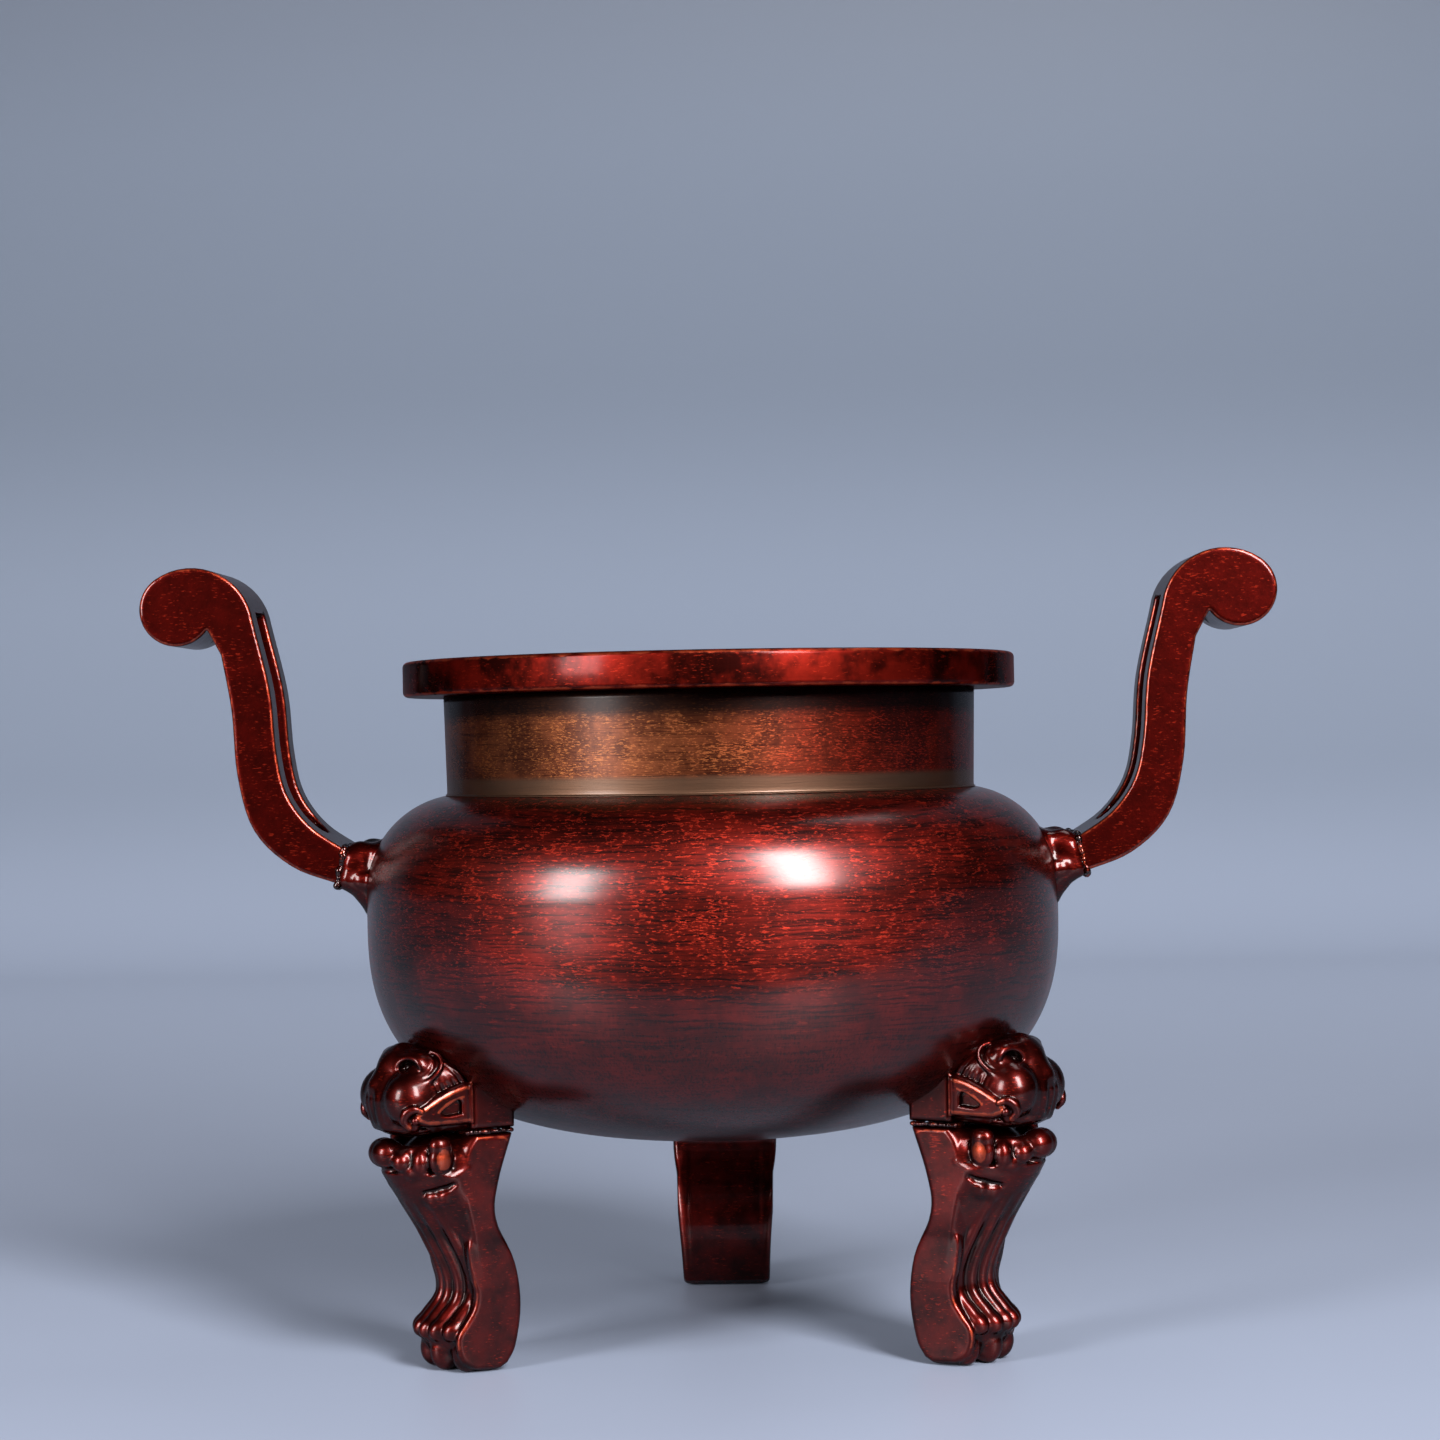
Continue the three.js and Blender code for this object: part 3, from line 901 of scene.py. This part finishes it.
# %% Ear
ear_angles = {"right": 0, "left": 180}
ear_half = 8.2
slot_half = 3.6
slot_foot = 60.6
slot_top = 108.0
slot_top_slope = 0.08
curl_under = (74.2, 103.5)
curl_under_way = (0.868, 0.496)
curl_centre = (77.38, 107.98)
curl_radius = 5.4
curl_back_radius = 9.2
curl_join = 55.6
curl_end = -146
ear_seam_top = (53.0, 72.4)
ear_seam_foot = (54.0, 67.4)


def ear_outline():
    lean = math.radians(curl_join)
    inward = curl_back_radius - curl_radius
    back_centre = (curl_centre[0] - inward * math.cos(lean),
                   curl_centre[1] - inward * math.sin(lean))
    back = arc(back_centre, curl_back_radius, 172, curl_join, 16)
    tip = arc(curl_centre, curl_radius, curl_join, curl_end, 30)
    inner = through([ear_seam_top, (58.2, 76), (61.6, 80.8), (63, 87), (63.8, 96), back[0]])
    outer = through([(70.9, 101.2), (69.5, 93), (68.8, 83.5), (66.5, 75.5), (61.1, 70.2),
                     ear_seam_foot])
    return np.concatenate([inner[:-1], back[:-1], tip, outer])


def ear_slot():
    """The slot that is cut through an ear: round at its foot, and closed under the curl."""
    def distance(x, y, z):
        beside = np.where(x > slot_foot, np.abs(y), np.hypot(x - slot_foot, y)) - slot_half
        above = z - (slot_top - slot_top_slope * (x - slot_foot))
        under_curl = sum((value - start) * way for value, start, way
                         in zip((x, z), curl_under, curl_under_way))
        return rounded(beside, np.maximum(above, under_curl), 0.3)

    return Shape(distance, (56, 0, 60), (80, slot_half, slot_top))


def ear_clay():
    clay = Clay((51.5, 0, 65.5), (84, 9.2, 115), 0.25)
    clay.add(plate(ear_outline(), PAST_MIDDLE, ear_half, edge=0.45), 0)
    clay.carve(ear_slot(), 0.5)
    return clay


def on_plane(outline, side):
    """A flat outline as a path of points at one distance from the middle."""
    return [(x, side, z) for x, z in outline]


ear_passes = 10
worn_rim = on_plane([*ear_outline(), ear_outline()[0]], ear_half)
slot_rim = on_plane([(58.6, 75.6), (61.6, 80.8), (63, 87), (63.8, 96), (66.2, 106)],
                    slot_half + 0.1)
ear = fire(ear_clay(), ear_passes, [rope(worn_rim, 0.22, 1), rope(slot_rim, 0.15)])
for side, degrees in ear_angles.items():
    cast_piece("ear_" + side, ear, degrees, "ear_patina")

# %% [markdown]
# The ear's root is the stub that was cast with the bowl. It swells out of the shoulder in a
# soft fillet. The clay makes it from the stub and a slightly smaller bowl, melted together,
# and only the part round the stub is kept.

# %% Ear roots
bowl_body = np.concatenate([belly_outside, [(0, belly_outside[-1][1])]])
root_passes = 14


def bowl_grown(by):
    """The space of the bowl, larger all round by so many millimetres."""
    shape = turned(bowl_body)
    return Shape(lambda *place: shape.distance(*place) - by, shape.low, shape.high)


def box(x_low, x_high, z_low, z_high, half_width=12):
    """A sharp box across the middle plane, to cut with."""
    corners = [(x_low, z_low), (x_high, z_low), (x_high, z_high), (x_low, z_high)]
    return plate(corners, PAST_MIDDLE, half_width, edge=0)


def root_clay():
    clay = Clay((43.5, 0, 54), (56.5, 11, 80), 0.24)
    stub = [(53.6, 72.6), (52.2, 73.0), (44, 74.2), (44, 60.4), (50.4, 63.4),
            (52.2, 65.6), (53.2, 66.6), (54.6, 67.3)]
    clay.add(plate(stub, PAST_MIDDLE, ear_half + 0.2, edge=1.8), 0)
    for centre in ((52.0, 7.3, 70.4), (51.2, 6.2, 72.0), (52.6, 7.2, 68.2), (50.6, 8.0, 68.0)):
        clay.add(ball(centre, (1.7, 1.3, 1.6)), 1.0)
    clay.add(bowl_grown(-0.3), 1.4)
    clay.carve(bowl_grown(-1.4), 0)
    kept = box(43, 58, 53, 81, 10.6)
    clay.carve(Shape(lambda *place: -kept.distance(*place), (0, 0, 0), (99, 99, 99)), 0)
    return clay


root = fire(root_clay(), root_passes)
for side, degrees in ear_angles.items():
    cast_piece("ear_root_" + side, root, degrees, "ear_patina")

# %% [markdown]
# ## The lion heads
#
# A head is built up like a carver's: first the block, then the mane, the eyes and brows, the
# cheeks and the muzzle, and last the ears. The front of the whole leg follows one curve from
# the brow down to the toes, so features are placed by their height, their distance from the
# middle, and how far they lie under that front.

# %% The front of a leg
front_curve = through([
    (-0.5, 44.8), (0.3, 45.3), (3.5, 47.7), (5.4, 48.4), (7.6, 46.7), (9.5, 45.1), (11.5, 44.6),
    (14, 45.0), (17, 46.4), (20.5, 48.4), (25.9, 51.9), (29, 53.6), (30.5, 54.2), (32.5, 53.7),
    (33.8, 53.4), (36.3, 55.0), (39.3, 54.9), (41.5, 54.0), (45.3, 50.8), (48, 48.1),
])
front_set_back = 0.09
leg_half = 8.3


def reach_of(height):
    """How far from the axis the front of the leg is at a height."""
    return np.interp(height, front_curve[:, 0], front_curve[:, 1])


def front(side, height, under):
    """A point on the front of the leg, or so far under it."""
    return reach_of(height) - front_set_back * side ** 2 - under, side, height


# %% Head block
head_foot = 33.8
head_back = 42.7
head_top = 50.4
collar_gap = 9
head_passes = 24


def head_clay():
    clay = Clay((head_back - 0.6, 0, 32.4), (56.4, 9.8, 50.5), 0.13)
    face = [(reach_of(z) - 2.8, z) for z in np.arange(35.4, 49, 0.9)]
    block = [(head_back, head_foot), (50.5, head_foot), *face, (46, head_top),
             (head_back, head_top)]
    clay.add(plate(block, PAST_MIDDLE, 6.8, edge=1.3, set_back=front_set_back), 0)
    mane(clay)
    eyes_and_brow(clay)
    cheeks_and_muzzle(clay)
    lion_ear(clay)
    clay.carve(bowl_grown(-0.2), 0.1)
    clay.carve(box(head_back - collar_gap, head_back, 30, 55), 0)
    return clay


# %% [markdown]
# The mane is combed up and forwards from the ear, in ridges that repeat. One rule gives each
# ridge its start on the ear and its end under the brow.

# %% Mane
def mane(clay):
    clay.add(ball((45.6, 4.4, 41.2), (4.6, 3.1, 3.4)), 0.8)
    for share in np.arange(7) / 6:
        start = (43.6 + 5.0 * share, 7.5 - 0.6 * share, 40.4 - 2.2 * share)
        middle = (44.6 + 4.4 * share, 7.3 - 0.6 * share, 42.0 - 2.2 * share)
        end = (46.2 + 3.2 * share, 6.6 - 0.4 * share, 43.4 - 2.6 * share)
        clay.add(rope([start, middle, end], (0.3, 0.36, 0.2)), 0.25)


# %% Eyes and brow
def around(centre_side, centre_height, radius, start, end, under, steps=9):
    """Part of a ring laid on the front of the leg."""
    ring = arc((centre_side, centre_height), radius, start, end, steps)
    return [front(side, height, under) for side, height in ring]


def eyes_and_brow(clay):
    eye_side, eye_height = 4.7, 42.4
    clay.add(ball(front(0, 42.6, 3.2), (3.0, 4.4, 3.0)), 1.0)
    clay.add(ball(front(3.6, 43.0, 2.6), (2.5, 3.0, 2.3)), 1.0)
    clay.carve(ball(front(eye_side, eye_height, 0.5), (1.3, 1.9, 1.5)), 0.8)
    clay.add(ball(front(eye_side, eye_height - 0.2, 1.9), 1.2), 0.5)
    for radius, under in ((1.9, 1.0), (2.6, 1.1)):
        clay.add(rope(around(eye_side, eye_height, radius, -60, 80, under), 0.3, 2))
    flame = [front(1.9, 44.2, 1.2), front(1.3, 43.0, 1.0), front(1.9, 41.9, 1.2)]
    clay.add(rope(flame, (0.35, 0.55, 0.4)), 0.5)


# %% [markdown]
# The muzzle hangs over the mouth in five folds, with a lip below and a curl at its corner.
# A palate fills the mouth, so that no light shows through under the lip.

# %% Cheeks and muzzle
muzzle_curl = [(50.5, 8.4, 37.2), (51.5, 8.0, 37.5), (52.4, 7.4, 36.9), (52.6, 7.1, 35.9),
               (51.9, 7.3, 35.0)]


def cheeks_and_muzzle(clay):
    clay.add(ball((50.2, 4.3, 38.5), (4.0, 3.6, 4.0)), 1.0)
    bridge = [front(0, 44.0, 2.6), front(0, 42.3, 2.3), front(0, 40.0, 2.0)]
    clay.add(rope(bridge, (1.8, 2.0, 2.1)), 1.2)
    clay.add(ball(front(1.7, 38.0, 2.8), (2.4, 2.2, 4.2)), 0.9)
    for side in (0.0, 1.5, 2.9):
        fold = [front(side, 40.6, 1.4), front(side * 1.1, 38.2, 1.05), front(side, 35.8, 1.1)]
        clay.add(rope(fold, (0.5, 0.85, 0.7)), 0.6)
    lip = [front(0, 34.9, 0.9), front(1.7, 34.7, 0.8), (51.6, 3.6, 34.6), (50.3, 5.5, 34.7)]
    clay.add(rope(lip, (0.7, 0.75, 0.7, 0.55)), 0.6)
    clay.add(rope(muzzle_curl, (0.4, 0.6, 0.7, 0.65, 0.45)), 0.25)
    clay.add(ball((51.2, 7.8, 35.9), 0.6), 0.15)
    palate = ball((48.8, 0, 34.2), (4.2, 5.6, 1.3))
    clay.add(palate)


# %% Ears of the lion
leaf = [(42.2, 34.9), (49.2, 34.8), (51.0, 35.4), (51.5, 36.6), (50.5, 37.8), (48.2, 39.1),
        (45.8, 40.2), (44.0, 40.8), (42.2, 40.9)]
leaf_side = 8.35
ear_ridge = [(42.75, 8.0, 35.2), (42.8, 8.05, 37.7), (42.75, 8.0, 40.6)]


def lion_ear(clay):
    clay.add(plate(leaf, 5.8, leaf_side, edge=0.9), 0.15)
    hollow = through([(44.4, 36.5), (46.6, 36.3), (47.4, 36.8), (46.4, 37.5), (44.9, 38.4),
                      (44.4, 37.9)])
    clay.carve(plate(hollow, 7.4, 9.5, edge=0.1), 0.35)
    clay.carve(rope([(43.3, 8.5, 35.2), (43.35, 8.6, 37.7), (43.3, 8.5, 40.8)], 0.2), 0.25)
    clay.add(rope(ear_ridge, 0.35), 0.15)


leaf_rim = on_plane([(43.4, 40.0), (45.6, 39.5), (48.0, 38.4), (50.0, 37.3), (50.9, 36.4),
                     (50.3, 35.7), (48.2, 35.4), (43.4, 35.5)], leaf_side)
hollow_rim = on_plane([(44.2, 38.8), (46.6, 37.9), (47.9, 36.9)], leaf_side)
head_rubbed = [rope(leaf_rim, 0.15), rope(ear_ridge, 0.25), rope(muzzle_curl, 0.4),
               rope(hollow_rim, 0.1)]
head = fire(head_clay(), head_passes, head_rubbed)
print("head", len(head.faces), "faces")

# %% [markdown]
# ## The legs
#
# Below the mouth a leg is a slab with flat sides and an S-shaped back. On its front lie the
# lower jaw with its beads, a moustache line, a beard, six soft flutes like tendons, and the
# knuckles and toes of the paw. A flat raised panel covers the lower side like a blade.

# %% Leg block
leg_top = 33.4
sole_half = 6.9
taper_top = 24.0
panel_raise = 0.55
leg_passes = 20


def smooth_step(low, high, value):
    """0 at low, 1 at high, and a soft change between; low may be the larger one."""
    share = np.clip((value - low) / (high - low), 0, 1)
    return share ** 2 * (3 - 2 * share)


def leg_width(height):
    """Half of the slab's width: full at the top and narrower at the sole."""
    return sole_half + (leg_half - sole_half) * smooth_step(0, taper_top, height)


def shin_width(height):
    """The width beside the panel, which fades into the slab above it."""
    return leg_width(height) - panel_raise * (1 - smooth_step(15, 22, height))


def blade_width(height):
    """The raised panel's width, which sinks into the slab at its upper end."""
    return leg_width(height) - smooth_step(16, 21, height)


leg_back = through([(36.6, leg_top), (38.9, 26.4), (39.3, 21.5), (36.4, 15), (35.4, 9),
                    (36.1, 3.4), (37.4, 1.0)])
blade_front = through([
    (42.2, 0.55), (44.2, 1.7), (45.1, 3.8), (44.9, 5.6), (43.8, 7.2), (42.7, 9.0),
    (42.4, 11.0), (42.9, 13.3), (43.3, 15.5), (43.5, 17.5), (43.2, 19.5),
])


def leg_clay():
    clay = Clay((34.4, 0, -0.5), (56.4, 9.6, 34.4), 0.185)
    blade = np.concatenate([leg_back[12:], [(38.6, 0.35)], blade_front, [(42.2, 21.5), (40, 23)]])
    clay.add(plate(blade, 5.6, blade_width, edge=0.7), 0)
    shin = [(reach_of(z) - 0.3 - 0.7 * smooth_step(22, 16, z), z) for z in np.arange(3, 28.5)]
    jaw = [(50.8, 28.8), (50.4, 30.2), (48.8, 31.8), (47.4, 32.6), (45.6, leg_top)]
    block = [*leg_back, (39.0, 0.1), (42.5, 0.2), (44.2, 0.9), *shin, *jaw]
    clay.add(plate(block, PAST_MIDDLE, shin_width, edge=0.8, set_back=front_set_back), 0.5)
    lower_jaw(clay)
    beard(clay)
    paw(clay)
    clay.carve(box(30, 60, -3, 0), 0.25)
    clay.carve(box(30, 60, leg_top, 40), 0.4)
    return clay


# %% Lower jaw
def lower_jaw(clay):
    clay.add(ball((52.5, 0.5, 30.8), (2.2, 2.4, 2.1)), 0.8)
    lip = [(51.5, 1.6, 30.9), (50.7, 3.0, 31.0), (49.6, 4.3, 31.2), (48.3, 5.6, 31.6)]
    clay.add(rope(lip, (1.2, 1.0, 0.8, 0.6)), 0.6)
    for centre, radii in (((51.4, 3.2, 29.8), 1.45), ((49.5, 5.5, 29.7), (1.25, 1.2, 1.8)),
                          ((51.3, 0, 28.6), (1.3, 1.4, 1.2)), ((50.3, 4.4, 28.4), 0.9)):
        clay.add(ball(centre, radii), 0.75)
    clay.add(ball((47.2, 7.0, 32.1), (1.7, 1.3, 1.4)), 0.5)
    clay.add(ball((47.2, 7.1, 30.2), (1.8, 1.2, 2.2)), 0.5)
    clay.carve(rope([(45.1, 8.6, 33.2), (45.0, 8.6, 31.2), (45.3, 8.3, 29.2)], 0.3), 0.6)


# %% Moustache and beard
def beard(clay):
    hollow = [(45.8, 7.9, 26.7), (47.2, 6.8, 25.8), (48.8, 5.0, 25.4)]
    clay.carve(rope(hollow, (0.3, 0.6, 0.3)), 0.8)
    line = [(43.6, 7.9, 28.7), (45.3, 7.7, 28.3), (47.0, 6.9, 27.5), (48.6, 5.4, 26.9),
            (50.1, 3.4, 26.5), (50.9, 1.4, 26.4), (51.0, 0, 26.4)]
    clay.add(rope(line, (0.15, 0.3, 0.4, 0.35, 0.3, 0.4, 0.3)), 0.6)
    for centre in ((46.3, 6.3, 24.9), (47.5, 4.9, 24.5)):
        clay.add(ball(centre, (1.0, 1.0, 1.1)), 0.8)


# %% [markdown]
# Flutes, knuckles and toes are placed by loops: each flute keeps its distance from the
# middle of the leg while it follows the front down to its knuckle.

# %% Paw
def paw(clay):
    heights = (24, 21, 18, 15, 12.5, 10.5, 9, 7.5, 6.2)
    widths = (0.6, 0.75, 0.85, 0.9, 0.95, 0.98, 1.0, 1.1, 1.15)
    under = (1.1, 1.05, 0.95, *widths[3:])
    for side in (0.98, 2.95, 4.8):
        path = [front(side, height, depth) for height, depth in zip(heights, under)]
        clay.add(rope(path, widths), 0.45)
        clay.add(ball(front(side, 5.7, 1.5), (1.7, 1.15, 1.4)), 0.6)
    for side in (1.75, 4.9):
        clay.add(ball(front(side, 2.7, 2.3), (2.4, 1.75, 2.7)), 0.5)
    groove = [front(side, 4.2, 0.1) for side in np.linspace(0, 5.6, 7)]
    clay.carve(rope(groove, 0.22), 0.5)


panel_rim = on_plane([(37.2, 31.4), (38.0, 32.6), (41.0, 32.9), (44.2, 32.4), (44.5, 30.0)],
                     leg_half)
blade_rim = [(x, leg_width(z), z) for x, z in blade_front[8:]]
leg_rubbed = [rope(panel_rim, 0.05), rope(blade_rim, 0.22, 1),
              ball((47.2, 8.2, 30.2), (1.0, 0.5, 1.4))]
leg = fire(leg_clay(), leg_passes, leg_rubbed)
print("leg", len(leg.faces), "faces")

# %% [markdown]
# Behind each head a plain collar joins it to the bowl. It gets only part of its relief, so
# its painted shade in hollows and painted highlight on swells are weaker. Then head, leg and
# collar are set up at each of the three places.

# %% Collars and assembly of the legs
leg_angles = {"front_left": 210, "front_right": 330, "rear": 90}
collar_passes = 12
collar_relief_share = 0.4


def collar_clay():
    clay = Clay((35.4, 0, 33.2), (43.6, 9.2, 46), 0.2)
    block = [(36.3, 34.0), (42.85, 34.0), (42.85, 46), (36.0, 46)]
    clay.add(plate(block, PAST_MIDDLE, leg_half - 0.1, edge=0.7), 0)
    clay.carve(bowl_grown(-0.2), 0.1)
    return clay


collar = fire(collar_clay(), collar_passes)
# Part of the relief: weaker painted shade and highlight on the collar.
collar = collar._replace(relief=collar.relief * collar_relief_share)
for place, degrees in leg_angles.items():
    for kind, cast in (("lion_head_", head), ("leg_", leg), ("leg_collar_", collar)):
        cast_piece(kind + place, cast, degrees, "leg_patina")

# %% [markdown]
# ## Brazed seams
#
# Where a leg or an ear was brazed on, the metal that filled the joint froze in small lumps.
# Lumps along a path are a job for Geometry Nodes: the path is resampled into points, each
# point gets a small sphere of random size, pushed a little out of line, and a volume melts
# them into one bead.

# %% Bead tree
lump_sizes = {2: 0.6, 3: 1.2}
push_share = 0.22
lump_spacing = 0.7
voxel = 0.11 * MM
solid_depth = 0.5 * MM


def bead_tree(material):
    bench, given = new_tree("braze_bead", Spacing="Float", Radius="Float", Seed="Int")
    path = bench.add("GeometryNodeMeshToCurve", {"Mesh": given["Geometry"]})
    points = bench.add("GeometryNodeCurveToPoints", {"Curve": path, "Length": given["Spacing"]},
                       mode="LENGTH")
    nudge = bench.add("FunctionNodeRandomValue",
                      {0: (-1, -1, -1), 1: (1, 1, 1), "Seed": given["Seed"]},
                      data_type="FLOAT_VECTOR")
    push = bench.add("ShaderNodeVectorMath", {0: nudge, "Scale": given["Radius"] * push_share},
                     operation="SCALE")
    uneven = bench.add("GeometryNodeSetPosition", {"Geometry": points, "Offset": push})
    lump = bench.add("GeometryNodeMeshIcoSphere", {"Radius": given["Radius"], "Subdivisions": 3})
    size = bench.add("FunctionNodeRandomValue", {**lump_sizes, "Seed": given["Seed"] + 1}, 1)
    lumps = bench.add("GeometryNodeInstanceOnPoints",
                      {"Points": uneven, "Instance": lump, "Scale": size})
    real = bench.add("GeometryNodeRealizeInstances", {"Geometry": lumps})
    cloud = bench.add("GeometryNodeMeshToVolume",
                      {"Mesh": real, "Voxel Size": voxel, "Interior Band Width": solid_depth},
                      resolution_mode="VOXEL_SIZE")
    melted = bench.add("GeometryNodeVolumeToMesh",
                       {"Volume": cloud, "Voxel Size": voxel, "Threshold": 0.1},
                       resolution_mode="VOXEL_SIZE")
    return finished_tree(bench, melted, material)


braze_tree = bead_tree(materials["braze_copper"])


def bead(node, corners, half, degrees, radius, seed):
    """A closed bead round a joint that runs from one corner to the other on both sides."""
    (xa, za), (xb, zb) = corners
    path = [(xa, -half, za), (xa, half, za), (xb, half, zb), (xb, -half, zb)]
    edges = [(0, 1), (1, 2), (2, 3), (3, 0)]
    mesh = new_mesh(node + "_path", turned_about_axis(path, degrees), edges)
    sizes = {"Spacing": radius * lump_spacing * MM, "Radius": radius * MM, "Seed": seed}
    settle(run_nodes("bead_" + node, mesh, braze_tree, sizes), "braze_copper", node)


# %% Beads on the ears and legs
ear_joint = [(53.3, 72.6), (54.5, 67.3)]
leg_joint = [(36.9, 33.7), (43.6, 33.7)]
ear_bead_half, ear_bead_radius = ear_half - 0.35, 0.62
leg_bead_half, leg_bead_radius = leg_half - 0.2, 0.32
for seed, (side, degrees) in enumerate(ear_angles.items()):
    bead("ear_braze_" + side, ear_joint, ear_bead_half, degrees, ear_bead_radius, seed)
for seed, (place, degrees) in enumerate(leg_angles.items(), 10):
    bead("leg_braze_" + place, leg_joint, leg_bead_half, degrees, leg_bead_radius, seed)

# %% [markdown]
# ## The studio
#
# The photograph was taken on blue-grey paper that runs up behind the burner. Its colour is
# painted lighter from the front back to where the paper starts to rise, and darker upwards:
# painted light that stands in for how the lamps' light falls on the paper. Two tall soft lamps
# stand in front. Their places come from the two bright spots on the belly: the line of sight,
# mirrored at the belly's surface, leads back to each lamp. A third, weaker one hangs above and
# behind. The rest of the room is dark, which gives the belly its dark sides: so the
# reflections leave out the paper in front of the burner and the soft light all round.

# %% Paper
def sweep_material():
    bench = Patina("studio_paper")
    depth, height = bench.along("Y"), bench.along("Z")
    # Painted light: lighter from the front back to the bend, darker up the wall.
    colour = bench.layered(
        (0.195, 0.220, 0.288),
        (bench.noise(30.0, 2.0, 0.5), (0.200, 0.225, 0.295)),
        (bench.ramp(depth, 150.0, 760.0), (0.368, 0.420, 0.546)),
        (bench.ramp(height, 0.0, 80.0), (0.267, 0.310, 0.404)),
        (bench.ramp(height, 150.0, 290.0), (0.197, 0.232, 0.303)),
        (bench.ramp(height, 400.0, 540.0), (0.163, 0.190, 0.249)),
    )
    return bench.shaded({"Base Color": colour, "Roughness": 0.5})


sweep_paper = sweep_material()
paper_half_width = 2000.0


def paper(name, section):
    """A sheet across the studio, for a row of points (y, z)."""
    points = [(side * paper_half_width * MM, y * MM, z * MM)
              for y, z in section for side in (-1, 1)]
    faces = [(i, i + 1, i + 3, i + 2) for i in range(0, len(points) - 2, 2)]
    mesh = new_mesh(name, points, (), faces)
    mesh.shade_smooth()
    mesh.materials.append(sweep_paper)
    sheet = put_in_scene(name, mesh)
    return sheet


bend, wall_y, wall_top = 500.0, 1200.0, 2200.0
sheet_edge, table_edge = -190.0, -1500.0
curve = arc((wall_y - bend, bend), bend, -90, 0, 24).tolist()
paper("paper", [(sheet_edge, 0.0), *curve, (wall_y, wall_top)])
table = paper("paper_in_front", [(table_edge, 0.0), (sheet_edge, 0.0)])
table.visible_glossy = False


# %% Lamps
def lamp(name, target, direction, distance, size, power):
    data = bpy.data.lights.new(name, "AREA")
    data.shape = "RECTANGLE"
    data.size, data.size_y = (side * MM for side in size)
    data.energy = power
    light = put_in_scene(name, data)
    toward = Vector(direction).normalized()
    light.location = (Vector(target) + toward * distance) * MM
    light.rotation_euler = toward.to_track_quat("Z", "Y").to_euler()


lamp("lamp_right", (12.6, -48.4 + axis_y, 70.4), (0.446, -0.717, 0.536), 900, (240, 620), 24.0)
lamp("lamp_left", (-17.4, -47.4 + axis_y, 68.7), (-0.688, -0.666, 0.289), 900, (250, 480), 11.5)
lamp("lamp_top", (17.2, -42.0 + axis_y, 77.2), (0.289, 0.316, 0.904), 1000, (300, 300), 1.3)

soft_light = 0.42
world = bpy.data.worlds.new("studio")
bpy.context.scene.world = world
world.use_nodes = True
background = world.node_tree.nodes["Background"]
background.inputs["Color"].default_value = (1, 1, 1, 1)
background.inputs["Strength"].default_value = soft_light
world.cycles_visibility.glossy = False
bpy.context.scene.view_settings.view_transform = "Standard"
print("studio ready")
